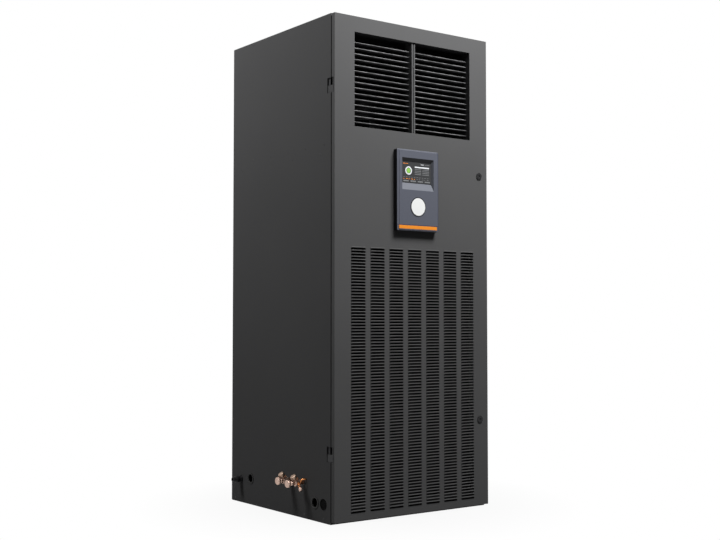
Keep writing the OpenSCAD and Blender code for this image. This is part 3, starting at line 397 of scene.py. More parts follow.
black_screw = finish("black_screw", (0.035, 0.035, 0.036), metallic=0.6, roughness=0.42, wear_and_highlight=0.8, dust=0.1)
spots, turns = [], []
for low, high in islands("panel_screws"):
    middle = (low + high) / 2
    if high.y > cad_high.y - 2 * mm:
        spots.append((middle.x, cad_high.y - 0.8 * mm, middle.z))
        turns.append((-math.pi / 2, 0.0, 0.0))
    else:
        side = math.copysign(1.0, middle.x)
        spots.append((high.x - 0.8 * mm if side > 0 else low.x + 0.8 * mm, middle.y, middle.z))
        turns.append((0.0, side * math.pi / 2, 0.0))
host_mesh = bpy.data.meshes.new("screw_places")
host_mesh.from_pydata(spots, [], [])
turn_attribute = host_mesh.attributes.new("turn", "FLOAT_VECTOR", "POINT")
for number, value in enumerate(turns):
    turn_attribute.data[number].vector = value
host = bpy.data.objects.new("screw_places", host_mesh)
bpy.context.scene.collection.objects.link(host)
screws = set_out("screw_heads", host, points_tree, Shape=one_head, Finish=black_screw)
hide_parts("panel_screws")
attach(screws, "root")

# ---------------------------------------------------------------------------------------------
# Fan chamber. A galvanised deck with a spun inlet ring carries a backward-curved fan of filled
# black plastic on an external-rotor motor, with heater rods in steel sheaths under the deck.
# ---------------------------------------------------------------------------------------------

zinc_spangle = finish("zinc_spangle", (0.20, 0.205, 0.21), metallic=0.75, roughness=0.45, pebble_size=70.0,
                      pebble_depth=0.00003, mottle=0.3, wear_and_highlight=0.2, dust=0.4)
fan_plastic = finish("fan_plastic", (0.022, 0.023, 0.025), roughness=0.55, pebble_size=1600.0, mottle=0.15,
                     wear_and_highlight=0.15, dust=0.5)
# The motor, and its bracket with it, is painted near black: painted shade standing in for the darkness inside the
# fan chamber
motor_painted_shade = finish("motor_painted_shade", (0.02, 0.02, 0.022), roughness=0.5, wear_and_highlight=0.4, dust=0.3)
heated_steel = finish("heated_steel", (0.16, 0.13, 0.11), metallic=0.85, roughness=0.4, pebble_size=300.0,
                      mottle=0.5, wear_and_highlight=0.1, dust=0.2)
dress(zinc_spangle, "fan_deck", "inlet_ring")
dress(fan_plastic, "fan_impeller")
dress(motor_painted_shade, "fan_motor", "fan_bracket")
dress(heated_steel, "reheat_elements")

# ---------------------------------------------------------------------------------------------
# Evaporator coil. Thin aluminium fins pressed onto copper tubes between two galvanised end
# plates, leaning over a folded drain pan.
# ---------------------------------------------------------------------------------------------

coil_plate = finish("coil_plate", (0.42, 0.43, 0.44), metallic=0.8, roughness=0.42, pebble_size=70.0,
                    mottle=0.25, wear_and_highlight=0.2, dust=0.2)
copper_tube = finish("copper_tube", (0.62, 0.30, 0.17), metallic=0.95, roughness=0.32, pebble_size=260.0,
                     pebble_depth=0.00002, mottle=0.45, wear_and_highlight=0.1, dust=0.1, specular=0.5)
dress(coil_plate, "coil_end_plates", "drain_pan")
dress(copper_tube, "coil_tubes")

fin_pitch = 3.2 * mm
fin_sheet = finish("fin_sheet", (0.66, 0.67, 0.68), metallic=0.9, roughness=0.35, pebble_size=500.0,
                   mottle=0.2, wear_and_highlight=0.0, dust=0.15)
# Dark stripes at the fin pitch over the solid fin block are painted shade, standing in for the dark gaps between
# separate fins
fin_gap_shade = fin_sheet.node_tree
across = fin_gap_shade.nodes.new("ShaderNodeSeparateXYZ")
fin_gap_shade.links.new(fin_gap_shade.nodes.new("ShaderNodeTexCoord").outputs["Object"], across.inputs[0])
phase = maths(fin_gap_shade, "PINGPONG", across.outputs["X"], fin_pitch / 2)
ridge = spread(fin_gap_shade, phase, 0.0, fin_pitch / 2)
shader = fin_gap_shade.nodes["Principled BSDF"]
was = shader.inputs["Base Color"].links[0].from_socket
fin_gap_shade.links.new(blended(fin_gap_shade, spread(fin_gap_shade, ridge, 0.35, 0.6), (0.03, 0.03, 0.032), was),
                  shader.inputs["Base Color"])
dress(fin_sheet, "coil_fins")

# ---------------------------------------------------------------------------------------------
# Refrigerant circuit. A black-painted hermetic compressor on rubber feet, with brazed copper
# lines, an olive filter drier, and a brass sight glass and expansion valve.
# ---------------------------------------------------------------------------------------------

shell_paint = finish("shell_paint", (0.018, 0.018, 0.02), roughness=0.38, pebble_size=240.0, wear_and_highlight=0.5,
                     dust=0.45, specular=0.4)
foot_rubber = finish("foot_rubber", (0.02, 0.02, 0.02), roughness=0.75, pebble_size=1500.0, mottle=0.2,
                     wear_and_highlight=0.0, dust=0.6)
olive_paint = finish("olive_paint", (0.13, 0.17, 0.06), roughness=0.4, wear_and_highlight=0.5, dust=0.3)
valve_brass = finish("valve_brass", (0.55, 0.40, 0.18), metallic=0.9, roughness=0.34, pebble_size=500.0,
                     mottle=0.35, wear_and_highlight=0.3, dust=0.1, specular=0.5)
dress(shell_paint, "compressor_shell", "compressor_base")
dress(foot_rubber, "compressor_mounts")
dress(copper_tube, "gas_line", "liquid_line", "suction_line")
dress(olive_paint, "filter_drier")
dress(valve_brass, "sight_glass", "expansion_valve")

# ---------------------------------------------------------------------------------------------
# Service valves. Two forged valves stand out of the left panel where the outdoor pipes join,
# each with a flat spigot, a leaning stem and a round cap on a wire yoke. Rubber rings line the
# holes beside them, and a nylon gland takes the supply cable.
# ---------------------------------------------------------------------------------------------

forged_tan = finish("forged_tan", (0.60, 0.42, 0.34), metallic=0.8, roughness=0.36, pebble_size=700.0,
                    pebble_depth=0.00004, mottle=0.35, wear_and_highlight=0.5, dust=0.05, specular=0.5)
cap_bronze = finish("cap_bronze", (0.40, 0.28, 0.21), metallic=0.8, roughness=0.4, pebble_size=500.0,
                    mottle=0.4, wear_and_highlight=0.7, dust=0.05, specular=0.5)
yoke_copper = finish("yoke_copper", (0.75, 0.30, 0.10), metallic=0.85, roughness=0.3, mottle=0.3, wear_and_highlight=0.1,
                     dust=0.0, specular=0.5)
stem_lean = math.radians(35)
body_x = -0.377
to_left = Matrix.Rotation(-math.pi / 2, 4, "Y")


def wire(bm, points, radius, index=0, count=8):
    """A round wire along a list of points, with closed ends."""
    rings = []
    for number, point in enumerate(points):
        before = points[max(number - 1, 0)]
        after = points[min(number + 1, len(points) - 1)]
        frame_turn = (after - before).to_track_quat("Z", "Y").to_matrix()
        rings.append([point + frame_turn @ p for p in ring(radius, 0.0, count)])
    rings_to_shell(bm, rings, index, True)


def service_valve(node_name, bore):
    """One valve in the place of its plain solid, on the same spigot face and height."""
    low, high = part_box(node_name)
    y = (low.y + high.y) / 2
    axis = Vector((body_x, y, low.z + 13.5 * mm))
    at_body = Matrix.Translation(axis)
    lean = at_body @ Matrix.Rotation(-stem_lean, 4, "Y")
    bm = bmesh.new()
    turned(bm, [(9.5 * mm, -12 * mm), (12 * mm, -10 * mm), (12 * mm, 9 * mm), (9.5 * mm, 11 * mm)],
           at_body @ to_left, 6, 0, False)
    reach = axis.x - low.x
    turned(bm, [(bore, 10 * mm), (bore, reach - 9.8 * mm)], at_body @ to_left, 24)
    turned(bm, [(12.3 * mm, reach - 10 * mm), (13.5 * mm, reach - 8.8 * mm), (13.5 * mm, reach - 1 * mm),
                (12.7 * mm, reach), (8.5 * mm, reach), (8.0 * mm, reach - 0.6 * mm)], at_body @ to_left, 40)
    turned(bm, [(6 * mm, 5 * mm), (6 * mm, 20 * mm)], lean, 24)
    turned(bm, [(7.5 * mm, 11 * mm), (8.6 * mm, 12 * mm), (8.6 * mm, 15 * mm), (7.5 * mm, 16 * mm)],
           lean, 6, 0, False)
    arch = [lean @ Vector((0, 9.6 * mm * math.cos(a), (17.5 - 5 * math.sin(a)) * mm))
            for a in [math.pi * k / 14 for k in range(15)]]
    wire(bm, arch, 1.1 * mm, 1)
    tether = [lean @ Vector((x * mm, 0, z * mm)) for x, z in
              ((9.4, 17), (11.2, 13), (11.4, 8), (9.8, 3), (7.0, 0.5))]
    wire(bm, tether, 1.0 * mm, 1)
    piece = made(node_name + "_forging", bm, forged_tan, yoke_copper)
    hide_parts(node_name)
    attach(piece, "root")
    return lean


caps = bmesh.new()
for node_name, bore in (("gas_valve", 9.5 * mm), ("liquid_valve", 7.5 * mm)):
    lean = service_valve(node_name, bore)
    turned(caps, [(9.6 * mm, 18.2 * mm), (11 * mm, 19.4 * mm), (11 * mm, 28 * mm), (10.2 * mm, 30.2 * mm),
                  (7.6 * mm, 31.6 * mm), (7.0 * mm, 31.2 * mm)], lean, 32)
stem_caps = made("stem_caps", caps, cap_bronze)
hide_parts("valve_caps")
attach(stem_caps, "root")

stub_lean = math.radians(-30)
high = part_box("charging_port")[1]
stub_top = Vector((body_x, high.y - 2 * mm, high.z - 24.5 * mm))
bm = bmesh.new()
stub = Matrix.Translation(stub_top) @ Matrix.Rotation(stub_lean, 4, "X") @ Matrix.Rotation(math.pi, 4, "X")
turned(bm, [(3.5 * mm, -4 * mm), (3.5 * mm, 19 * mm)], stub, 20, 1)
turned(bm, [(4.6 * mm, 9 * mm), (5.4 * mm, 9.8 * mm), (5.4 * mm, 13 * mm), (4.6 * mm, 13.8 * mm)], stub, 6, 0,
       False)
turned(bm, [(5.6 * mm, 17 * mm), (6.4 * mm, 18 * mm), (6.4 * mm, 27 * mm), (5.6 * mm, 28.4 * mm),
            (3.0 * mm, 29 * mm)], stub, 24, 0)
hook = [Vector((body_x + 9 * mm, stub_top.y + 2 * mm, stub_top.z)) + Vector(step) * mm for step in
        ((0, 0, 0), (0, -1, 6), (1, -3, 11), (4, -6, 13), (9, -8, 13), (14, -9, 12.6), (17.6, -9.4, 12.4))]
wire(bm, hook, 2.6 * mm, 1, 12)
arch = [stub @ Vector((-6.5 * math.sin(a) * mm, 3 * mm, (8 + 9 * (1 - math.cos(a)) / 2) * mm))
        for a in [math.pi * k / 10 for k in range(11)]]
wire(bm, arch, 1.1 * mm, 1)
charging_stub = made("charging_stub", bm, forged_tan, yoke_copper)
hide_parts("charging_port")
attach(charging_stub, "root")
ring_rubber = finish("ring_rubber", (0.008, 0.008, 0.008), roughness=0.6, pebble_size=1500.0, mottle=0.2,
                     wear_and_highlight=0.0, dust=0.1)
nylon = finish("nylon", (0.010, 0.010, 0.011), roughness=0.4, pebble_size=1800.0, wear_and_highlight=0.0, dust=0.1)
dress(ring_rubber, "grommets")

# A blind rubber plug covers a third, unused entry beside the front one
panel_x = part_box("left_panel")[0].x
plug_y, plug_z, plug_r = -0.280, 0.064, 0.019
bm = bmesh.new()
turned(bm, [(plug_r, 0.05 * mm), (plug_r, 1.2 * mm), (plug_r - 1.2 * mm, 2 * mm), (plug_r - 3.4 * mm, 2 * mm),
            (plug_r - 4.4 * mm, 0.5 * mm)],
       Matrix.Translation((panel_x, plug_y, plug_z)) @ to_left, 40)
plug_rubber = finish("plug_rubber", (0.004, 0.004, 0.004), roughness=0.7, pebble_size=1500.0, mottle=0.2,
                     wear_and_highlight=0.0, dust=0.05, specular=0.02)
blind_plug = made("blind_plug", bm, plug_rubber)
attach(blind_plug, "root")
dress(nylon, "cable_gland")

# ---------------------------------------------------------------------------------------------
# Electrical box. A galvanised tray behind a coated cover, with contactors in pale moulded
# plastic on a plated rail, and a red isolator knob on its yellow plate.
# ---------------------------------------------------------------------------------------------

plated_rail = finish("plated_rail", (0.5, 0.5, 0.46), metallic=0.9, roughness=0.35, mottle=0.2, dust=0.1)
pale_moulding = finish("pale_moulding", (0.46, 0.46, 0.44), roughness=0.5, pebble_size=1400.0, wear_and_highlight=0.1,
                       dust=0.2)
yellow_moulding = finish("yellow_moulding", (0.70, 0.50, 0.02), roughness=0.35, pebble_size=1400.0, wear_and_highlight=0.1,
                         dust=0.1)
red_moulding = finish("red_moulding", (0.50, 0.02, 0.02), roughness=0.33, pebble_size=1400.0, wear_and_highlight=0.15,
                      dust=0.1)
dress(zinc_spangle, "control_box")
dress(frame_coat, "control_cover")
dress(plated_rail, "din_rail")
dress(pale_moulding, "contactors")
dress(yellow_moulding, "isolator_plate")
dress(red_moulding, "isolator_knob")

# ---------------------------------------------------------------------------------------------
# Intake filter. Pleated charcoal synthetic media in a folded frame that slides in two channels
# behind the louvres.
# ---------------------------------------------------------------------------------------------

pleat_fibre = finish("pleat_fibre", (0.012, 0.012, 0.013), roughness=0.9, pebble_size=2600.0,
                     pebble_depth=0.0004, mottle=0.5, wear_and_highlight=0.0, dust=0.1, specular=0.05)
dress(pleat_fibre, "filter_media")
dark_channel = finish("dark_channel", (0.015, 0.015, 0.016), roughness=0.5, wear_and_highlight=0.2, dust=0.2)
dress(dark_channel, "filter_frame", "filter_channels")

# ---------------------------------------------------------------------------------------------
# Door. One folded steel sheet in the cabinet's coat, stiffened by hat channels, on two leaf
# hinges with pressed-in pins, closing on a strip of closed-cell foam.
# ---------------------------------------------------------------------------------------------

# The door's coat is the cabinet's charcoal coat painted a little lighter than on the panels: painted light on the
# front face
door_coat = finish("door_coat", (0.086, 0.086, 0.087), roughness=0.6, dust=0.1, specular=0.015)
dress(door_coat, "door_skin", "door_stiffeners")
foam_strip = finish("foam_strip", (0.008, 0.008, 0.008), roughness=0.95, pebble_size=1800.0,
                    pebble_depth=0.0003, mottle=0.3, wear_and_highlight=0.0, dust=0.1)
dress(foam_strip, "door_gasket")
hinge_coat = finish("hinge_coat", (0.020, 0.020, 0.021), roughness=0.45, wear_and_highlight=0.6)
pin_steel = finish("pin_steel", (0.12, 0.12, 0.12), metallic=0.8, roughness=0.35, wear_and_highlight=0.3, dust=0.1)
dress(hinge_coat, "cabinet_hinge_leaves", "door_hinge_leaves")
dress(pin_steel, "hinge_pins")

# ---------------------------------------------------------------------------------------------
# Intake louvres. Hoods pressed out of the door's lower half in seven columns, each a low curved
# lip that runs back into the sheet at both ends over its own slot.
# ---------------------------------------------------------------------------------------------

hood_w = 62 * mm
column_step = 83.2 * mm
row_step = 10.6 * mm
row_first = 34 * mm
border = 9 * mm
sheet_t = 1.5 * mm
hood_ends = ((31, 0.1, 2.8), (30.2, 0.55, 1.9), (28.4, 0.88, 0.8), (25.5, 1.0, 0.0))
hood_section = ((0.0, 0.0), (-1.9, -0.5), (-3.0, -1.7), (-3.3, -3.7), (-2.4, -3.7), (-2.1, -2.0),
                (-0.4, -1.2))
low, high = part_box("intake_louvres")
columns = round(((high.x - low.x) - 2 * border - hood_w) / column_step) + 1
rows = round((high.z - low.z - 2 * border) / row_step)
bm = bmesh.new()
stations = [(-x, out, drop) for x, out, drop in hood_ends]
stations += [(x, out, drop) for x, out, drop in hood_ends[::-1]]
rings_to_shell(bm, [[Vector((x * mm, dy * out * mm, (dz - (drop if dz < -1.6 else 0.0)) * mm))
                     for dy, dz in hood_section] for x, out, drop in stations], 0, True)
one_hood = made("one_hood", bm)


def bar(bm, low, high, index=0):
    """A plain flat bar between two corners, for strips of sheet."""
    rings_to_shell(bm, [[Vector((low[0], y, z)) for y, z in ((low[1], low[2]), (high[1], low[2]),
                                                            (high[1], high[2]), (low[1], high[2]))],
                        [Vector((high[0], y, z)) for y, z in ((low[1], low[2]), (high[1], low[2]),
                                                             (high[1], high[2]), (low[1], high[2]))]], index)


bm = bmesh.new()
field_half = ((columns - 1) * column_step + hood_w) / 2
for number in range(columns + 1):
    left = low.x if number == 0 else -field_half + hood_w + (number - 1) * column_step
    right = high.x if number == columns else -field_half + number * column_step
    bar(bm, (left, low.y, low.z), (right, low.y + sheet_t, high.z))
for bottom, top in ((low.z, row_first), (row_first + rows * row_step - 0.4 * mm, high.z)):
    for number in range(columns):
        left = -field_half + number * column_step
        bar(bm, (left, low.y, bottom), (left + hood_w, low.y + sheet_t, top))
for row in range(rows):
    z = row_first + row * row_step
    for number in range(columns):
        left = -field_half + number * column_step
        bar(bm, (left, low.y + 0.1 * mm, z + 8.7 * mm), (left + hood_w, low.y + 1.2 * mm, z + row_step))
louvre_sheet = made("louvre_sheet", bm)
louvres = set_out("louvre_field", louvre_sheet, grid_tree, Shape=one_hood, Finish=door_coat, Columns=columns,
                  Rows=rows, First=(-(columns - 1) * column_step / 2, low.y, row_first + row_step),
                  Column_Step=(column_step, 0.0, 0.0), Row_Step=(0.0, 0.0, row_step))
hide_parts("intake_louvres")
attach(louvres, "door")

# ---------------------------------------------------------------------------------------------
# Outlet grille. Two banks of bent blades in a folded frame let into the door, split by a folded
# mullion that two bright screws hold.
# ---------------------------------------------------------------------------------------------

blade_paint = finish("blade_paint", (0.075, 0.075, 0.077), roughness=0.42, wear_and_highlight=0.3, dust=0.05,
                     specular=0.2)
tree = blade_paint.node_tree
where = tree.nodes.new("ShaderNodeSeparateXYZ")
place = tree.nodes.new("ShaderNodeTexCoord").outputs["Object"]
tree.links.new(place, where.inputs[0])
# The blades' front noses are painted lighter in broken dashes: a painted highlight of light catching the rounded
# noses
nose_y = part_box("blades_left")[0].y + 1.4 * mm
nose_highlight = maths(tree, "LESS_THAN", where.outputs["Y"], nose_y)
highlight_breaks = spread(tree, noise(tree, place, 45.0, 2.0), 0.42, 0.6, 0.15, 1.0)
shader = tree.nodes["Principled BSDF"]
painted = shader.inputs["Base Color"].links[0].from_socket
tree.links.new(blended(tree, maths(tree, "MULTIPLY", nose_highlight, highlight_breaks), painted, (0.21, 0.21, 0.215)),
               shader.inputs["Base Color"])
grille_paint = finish("grille_paint", (0.018, 0.018, 0.019), roughness=0.5, wear_and_highlight=0.3, dust=0.1)
dress(blade_paint, "blades_left", "blades_right")
dress(door_coat, "grille_mullion")
dress(grille_paint, "grille_frame")

# ---------------------------------------------------------------------------------------------
# Control display. A moulded blue-grey housing with a sloped window, a lit panel under flat glass
# with a plain generic readout, a round status lens and an orange trim strip at the foot.
# ---------------------------------------------------------------------------------------------

low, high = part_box("display_housing")
strip_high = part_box("accent_strip")[1]
lens_low, lens_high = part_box("status_lens")
lens_middle = (lens_low + lens_high) / 2
side_shadow_w = 2.5 * mm
line_w = 2.5 * mm


def ruled(tree, value, edge, above=True):
    """1 on one side of a plane, 0 on the other."""
    return maths(tree, "GREATER_THAN" if above else "LESS_THAN", value, edge)


display_moulding = finish("display_moulding", (0.088, 0.094, 0.118), roughness=0.42, pebble_size=1800.0,
                          pebble_depth=0.00003, mottle=0.06, wear_and_highlight=0.2, dust=0.05)
tree = display_moulding.node_tree
shader = tree.nodes["Principled BSDF"]
facing = tree.nodes.new("ShaderNodeSeparateXYZ")
tree.links.new(tree.nodes.new("ShaderNodeNewGeometry").outputs["Normal"], facing.inputs[0])
where = tree.nodes.new("ShaderNodeSeparateXYZ")
tree.links.new(tree.nodes.new("ShaderNodeTexCoord").outputs["Object"], where.inputs[0])
face_colour = shader.inputs["Base Color"].links[0].from_socket
# A dark blue line just above the orange strip, and a painted shadow line in the same dark blue down the right
# edge of the housing
line = maths(tree, "MULTIPLY", ruled(tree, where.outputs["Z"], strip_high.z + 0.3 * mm),
             ruled(tree, where.outputs["Z"], strip_high.z + line_w, False))
side_shadow_line = ruled(tree, where.outputs["X"], high.x - side_shadow_w)
lined = blended(tree, maths(tree, "MAXIMUM", line, side_shadow_line), face_colour, (0.016, 0.02, 0.05))
# The window's sloped walls are coloured by the way they face: painted shade where they face down, painted light
# where they face up
in_window = maths(tree, "MULTIPLY", ruled(tree, facing.outputs["Y"], -0.97),
                  ruled(tree, facing.outputs["Y"], -0.2, False))
bevel_light_and_shade = blended(tree, spread(tree, facing.outputs["Z"], -0.3, 0.5), (0.008, 0.009, 0.012),
                (0.17, 0.18, 0.21))
sloped = blended(tree, in_window, lined, bevel_light_and_shade)
edge_side = ruled(tree, facing.outputs["Y"], -0.2)
tree.links.new(blended(tree, edge_side, sloped, (0.010, 0.010, 0.012)), shader.inputs["Base Color"])

window_half = 72.5 * mm
window_top_in = 29.5 * mm
window_low_in = 143.5 * mm
window = (-window_half, high.z - window_low_in, window_half, high.z - window_top_in)
slopes = (4 * mm, 26 * mm, 7 * mm, 13 * mm)
pocket_y = low.y + 9 * mm


def frame_ring(x0, z0, x1, z1, y, radius, count=6):
    """Points round a rectangle with rounded corners, in one upright plane."""
    points = []
    for cx, cz, start in ((x1 - radius, z1 - radius, 0), (x0 + radius, z1 - radius, 90),
                          (x0 + radius, z0 + radius, 180), (x1 - radius, z0 + radius, 270)):
        for k in range(count):
            a = math.radians(start + 90 * k / (count - 1))
            points.append(Vector((cx + radius * math.cos(a), y, cz + radius * math.sin(a))))
    return points


glass = (window[0] + slopes[0], window[1] + slopes[1], window[2] - slopes[2], window[3] - slopes[3])
door_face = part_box("door_skin")[0].y
soft_edge = 0.8 * mm
step_in = 9 * mm
outer = (low.x, low.z, high.x, high.z)
bm = bmesh.new()
rings_to_shell(bm, [
    frame_ring(*outer, door_face - 0.05 * mm, 5 * mm),
    frame_ring(*outer, low.y + 2 * mm, 5 * mm),
    frame_ring(low.x + soft_edge, low.z + soft_edge, high.x - soft_edge, high.z - soft_edge,
               low.y + 2 * mm - soft_edge, 4.2 * mm),
    frame_ring(low.x + step_in, low.z + 3 * mm, high.x - step_in, high.z - 3 * mm, low.y + 1.2 * mm, 1.5 * mm),
    frame_ring(low.x + step_in + 0.6 * mm, low.z + 3.6 * mm, high.x - step_in - 0.6 * mm, high.z - 3.6 * mm,
               low.y, 1.0 * mm),
    frame_ring(*window, low.y, 0.6 * mm),
    frame_ring(*glass, pocket_y, 0.4 * mm)])
display_shell = made("display_shell", bm, display_moulding)
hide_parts("display_housing")
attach(display_shell, "door")

cover_glass = finish("cover_glass", (0.016, 0.017, 0.019), roughness=0.12, pebble_size=400.0,
                     pebble_depth=0.000004, mottle=0.05, wear_and_highlight=0.0, dust=0.0, specular=0.5)
bm = bmesh.new()
glass_y = pocket_y - 1.2 * mm
rings_to_shell(bm, [frame_ring(*glass, pocket_y + 0.1 * mm, 0.4 * mm),
                    frame_ring(*glass, glass_y + 0.2 * mm, 0.4 * mm),
                    frame_ring(glass[0] + 0.3 * mm, glass[1] + 0.3 * mm, glass[2] - 0.3 * mm, glass[3] - 0.3 * mm,
                               glass_y, 0.3 * mm)])
screen_cover = made("screen_cover", bm, cover_glass)
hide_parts("display_screen")
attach(screen_cover, "door")


def lit(name, colour, glow):
    """A lit patch of the panel: its colour, glowing with a faint fine mottle."""
    material = finish(name, colour, roughness=0.4, mottle=0.05, wear_and_highlight=0.0, dust=0.0)
    cells = material.node_tree
    place = cells.nodes.new("ShaderNodeTexCoord").outputs["Object"]
    flicker = noise(cells, place, 1800.0, 0.0)
    level = spread(cells, flicker, 0.3, 0.7, 0.8, 1.0)
    cells.links.new(blended(cells, level, (0.0, 0.0, 0.0), colour),
                    cells.nodes["Principled BSDF"].inputs["Emission Color"])
    cells.nodes["Principled BSDF"].inputs["Emission Strength"].default_value = glow
    return material


glow_white = lit("glow_white", (0.62, 0.64, 0.66), 0.35)
glow_orange = lit("glow_orange", (0.85, 0.25, 0.02), 0.4)
glow_green = lit("glow_green", (0.20, 0.42, 0.08), 0.3)
glow_dim = lit("glow_dim", (0.16, 0.165, 0.17), 0.15)
mark_y = glass_y - 0.15 * mm
middle_x, middle_z = (glass[0] + glass[2]) / 2, (glass[1] + glass[3]) / 2
flat_by = 0.74
bm = bmesh.new()


def patch(x0, z0, x1, z1, index):
    """A rectangular lit patch, sizes in millimetres from the screen's middle."""
    bar(bm, (middle_x + x0 * mm, mark_y, middle_z + z0 * flat_by * mm),
        (middle_x + x1 * mm, glass_y, middle_z + z1 * flat_by * mm), index)


def dot(x, z, radius, index, inner=0.0):
    """A round lit patch, or a ring when it has an inner radius."""
    place = Matrix.Translation((middle_x + x * mm, glass_y, middle_z + z * flat_by * mm))
    place = place @ Matrix.Rotation(math.pi / 2, 4, "X")
    if not inner:
        turned(bm, [(radius * mm, 0.0), (radius * mm, 0.15 * mm)], place, 24, index, False)
        return
    for k in range(24):
        a, b = math.tau * k / 24, math.tau * (k + 1) / 24
        quad = [(inner, a), (radius, a), (radius, b), (inner, b)]
        rings_to_shell(bm, [[place @ Vector((r * mm * math.cos(t), r * mm * math.sin(t), h)) for r, t in quad]
                            for h in (0.0, 0.15 * mm)], index)


for x, wide in ((-60, 7), (-50, 4), (-43, 4)):
    patch(x, 40, x + wide, 43, 1)
patch(20, 40, 34, 42.5, 0)
patch(38, 40, 60, 42.5, 3)
dot(-36, 8, 15, 0, 10.5)
dot(-36, 8, 9, 2)
patch(-8, 24, 58, 30, 0)
for z in (15, 7, -1, -9):
    patch(-8, z, 22, z + 3.2, 3)
    patch(27, z, 58, z + 3.2, 3)
for x in range(-60, 56, 12):
    patch(x, -24, x + 7, -22, 3)
    patch(x, -33, x + (5 if x % 24 else 8), -31, 1 if x < 0 else 3)
for x in (-60, -27, 6, 38):
    patch(x, -45, x + 24, -39, 3)
readout = made("readout", bm, glow_white, glow_orange, glow_green, glow_dim)
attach(readout, "door")

lens_face = finish("lens_face", (0.78, 0.79, 0.78), roughness=0.25, pebble_size=900.0, pebble_depth=0.00001,
                   mottle=0.03, wear_and_highlight=0.0, dust=0.0, specular=0.4)
tree = lens_face.node_tree
shader = tree.nodes["Principled BSDF"]
offset = tree.nodes.new("ShaderNodeVectorMath")
offset.operation = "SUBTRACT"
offset.inputs[1].default_value = lens_middle
tree.links.new(tree.nodes.new("ShaderNodeTexCoord").outputs["Object"], offset.inputs[0])
parts = tree.nodes.new("ShaderNodeSeparateXYZ")
tree.links.new(offset.outputs[0], parts.inputs[0])
radius = maths(tree, "SQRT", maths(tree, "ADD", maths(tree, "POWER", parts.outputs["X"], 2.0),
                                   maths(tree, "POWER", parts.outputs["Z"], 2.0)))
lens_radius = (lens_high.x - lens_low.x) / 2
rim_w = 3.6 * mm
dark_ring = ruled(tree, radius, lens_radius - rim_w)
white_face = shader.inputs["Base Color"].links[0].from_socket
tree.links.new(blended(tree, dark_ring, white_face, (0.02, 0.022, 0.028)), shader.inputs["Base Color"])
dress(lens_face, "status_lens")
orange_trim = finish("orange_trim", (0.80, 0.26, 0.025), roughness=0.35, pebble_size=1800.0, mottle=0.05,
                     wear_and_highlight=0.2, dust=0.0)
dress(orange_trim, "accent_strip")

# ---------------------------------------------------------------------------------------------
# Quarter-turn latches. Black die-cast heads with a hollow key socket, on a shank through the
# door, each with a steel tongue that swings behind the right panel's return.
# ---------------------------------------------------------------------------------------------

latch_black = finish("latch_black", (0.012, 0.012, 0.013), roughness=0.4, wear_and_highlight=0.7, dust=0.1)
dress(latch_black, "latch_lower", "latch_upper")

# ---------------------------------------------------------------------------------------------
# Floor, lamps and camera. A plain pale floor that runs out into white, with the soft shadow of
# the cabinet on it, a large softbox above the front and a weaker one on the left.
# ---------------------------------------------------------------------------------------------

half_floor = 14.0
bpy.ops.mesh.primitive_grid_add(x_subdivisions=8, y_subdivisions=8, size=2 * half_floor)
floor = bpy.context.object
floor.name = "floor"
floor_paint = bpy.data.materials.new("floor_paint")
floor_paint.use_nodes = True
tree = floor_paint.node_tree
shader = tree.nodes["Principled BSDF"]
shader.inputs["Base Color"].default_value = (0.13, 0.13, 0.13, 1)
shader.inputs["Roughness"].default_value = 0.85
shader.inputs["Specular IOR Level"].default_value = 0.1
seen = tree.nodes.new("ShaderNodeLightPath")
white = tree.nodes.new("ShaderNodeEmission")
white.inputs["Strength"].default_value = 1.0
seen_share = maths(tree, "ADD", seen.outputs["Is Camera Ray"], seen.outputs["Is Glossy Ray"])
seen_share = maths(tree, "ADD", seen_share, seen.outputs["Is Transmission Ray"], True)
away = tree.nodes.new("ShaderNodeVectorMath")
away.operation = "LENGTH"
tree.links.new(tree.nodes.new("ShaderNodeTexCoord").outputs["Object"], away.inputs[0])
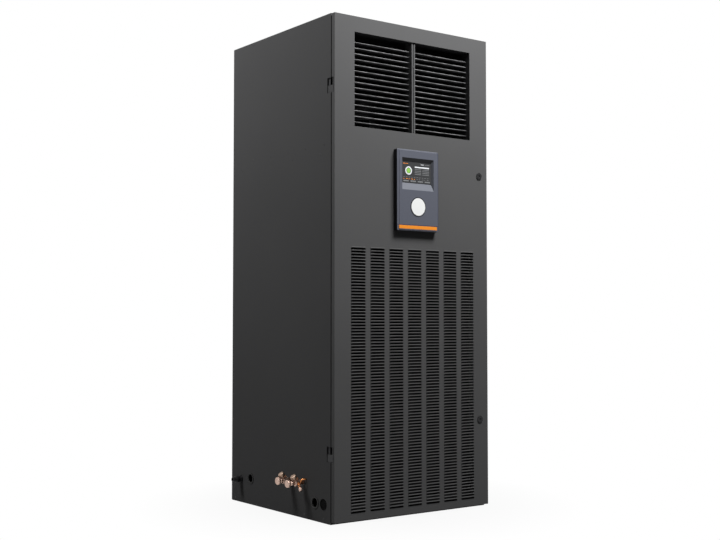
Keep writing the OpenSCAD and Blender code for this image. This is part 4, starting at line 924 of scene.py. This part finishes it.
fade = spread(tree, away.outputs["Value"], 0.35, 0.85, 0.93, 1.0)
layered = tree.nodes.new("ShaderNodeMixShader")
tree.links.new(maths(tree, "MULTIPLY", fade, seen_share), layered.inputs[0])
tree.links.new(shader.outputs[0], layered.inputs[1])
tree.links.new(white.outputs[0], layered.inputs[2])
tree.links.new(layered.outputs[0], tree.nodes["Material Output"].inputs["Surface"])
floor.data.materials.append(floor_paint)

room = bpy.data.worlds.new("room")
bpy.context.scene.world = room
room.use_nodes = True
tree = room.node_tree
ground = tree.nodes["Background"]
ground.inputs["Color"].default_value = (1, 1, 1, 1)
seen = tree.nodes.new("ShaderNodeLightPath")
seen_share = maths(tree, "ADD", seen.outputs["Is Camera Ray"], seen.outputs["Is Glossy Ray"])
seen_share = maths(tree, "ADD", seen_share, seen.outputs["Is Transmission Ray"], True)
tree.links.new(maths(tree, "ADD", maths(tree, "MULTIPLY", seen_share, 0.95), 0.05),
               ground.inputs["Strength"])


def softbox(name, place, aim, width, height, power):
    """An area lamp turned to face a point."""
    lamp = bpy.data.lights.new(name, "AREA")
    lamp.shape = "RECTANGLE"
    lamp.size = width
    lamp.size_y = height
    lamp.energy = power
    holder = bpy.data.objects.new(name, lamp)
    bpy.context.scene.collection.objects.link(holder)
    holder.location = place
    holder.rotation_euler = (Vector(aim) - Vector(place)).to_track_quat("-Z", "Y").to_euler()
    return holder


softbox("front_box", (0.4, -1.7, 3.3), (0.0, -0.3, 1.9), 1.4, 0.9, 145)
softbox("left_box", (-1.9, 0.8, 3.1), (-0.35, 0.1, 1.9), 1.0, 1.0, 67)

view_camera = bpy.data.cameras.new("view_camera")
view_camera.sensor_width = 36.0
view_camera.lens = 56.09
camera = bpy.data.objects.new("view_camera", view_camera)
bpy.context.scene.collection.objects.link(camera)
camera.location = (-2.5288, -3.4664, 0.6950)
camera.rotation_euler = (math.radians(92.516), 0.0, math.radians(-36.22))
bpy.context.scene.camera = camera
bpy.context.scene.view_settings.view_transform = "Standard"
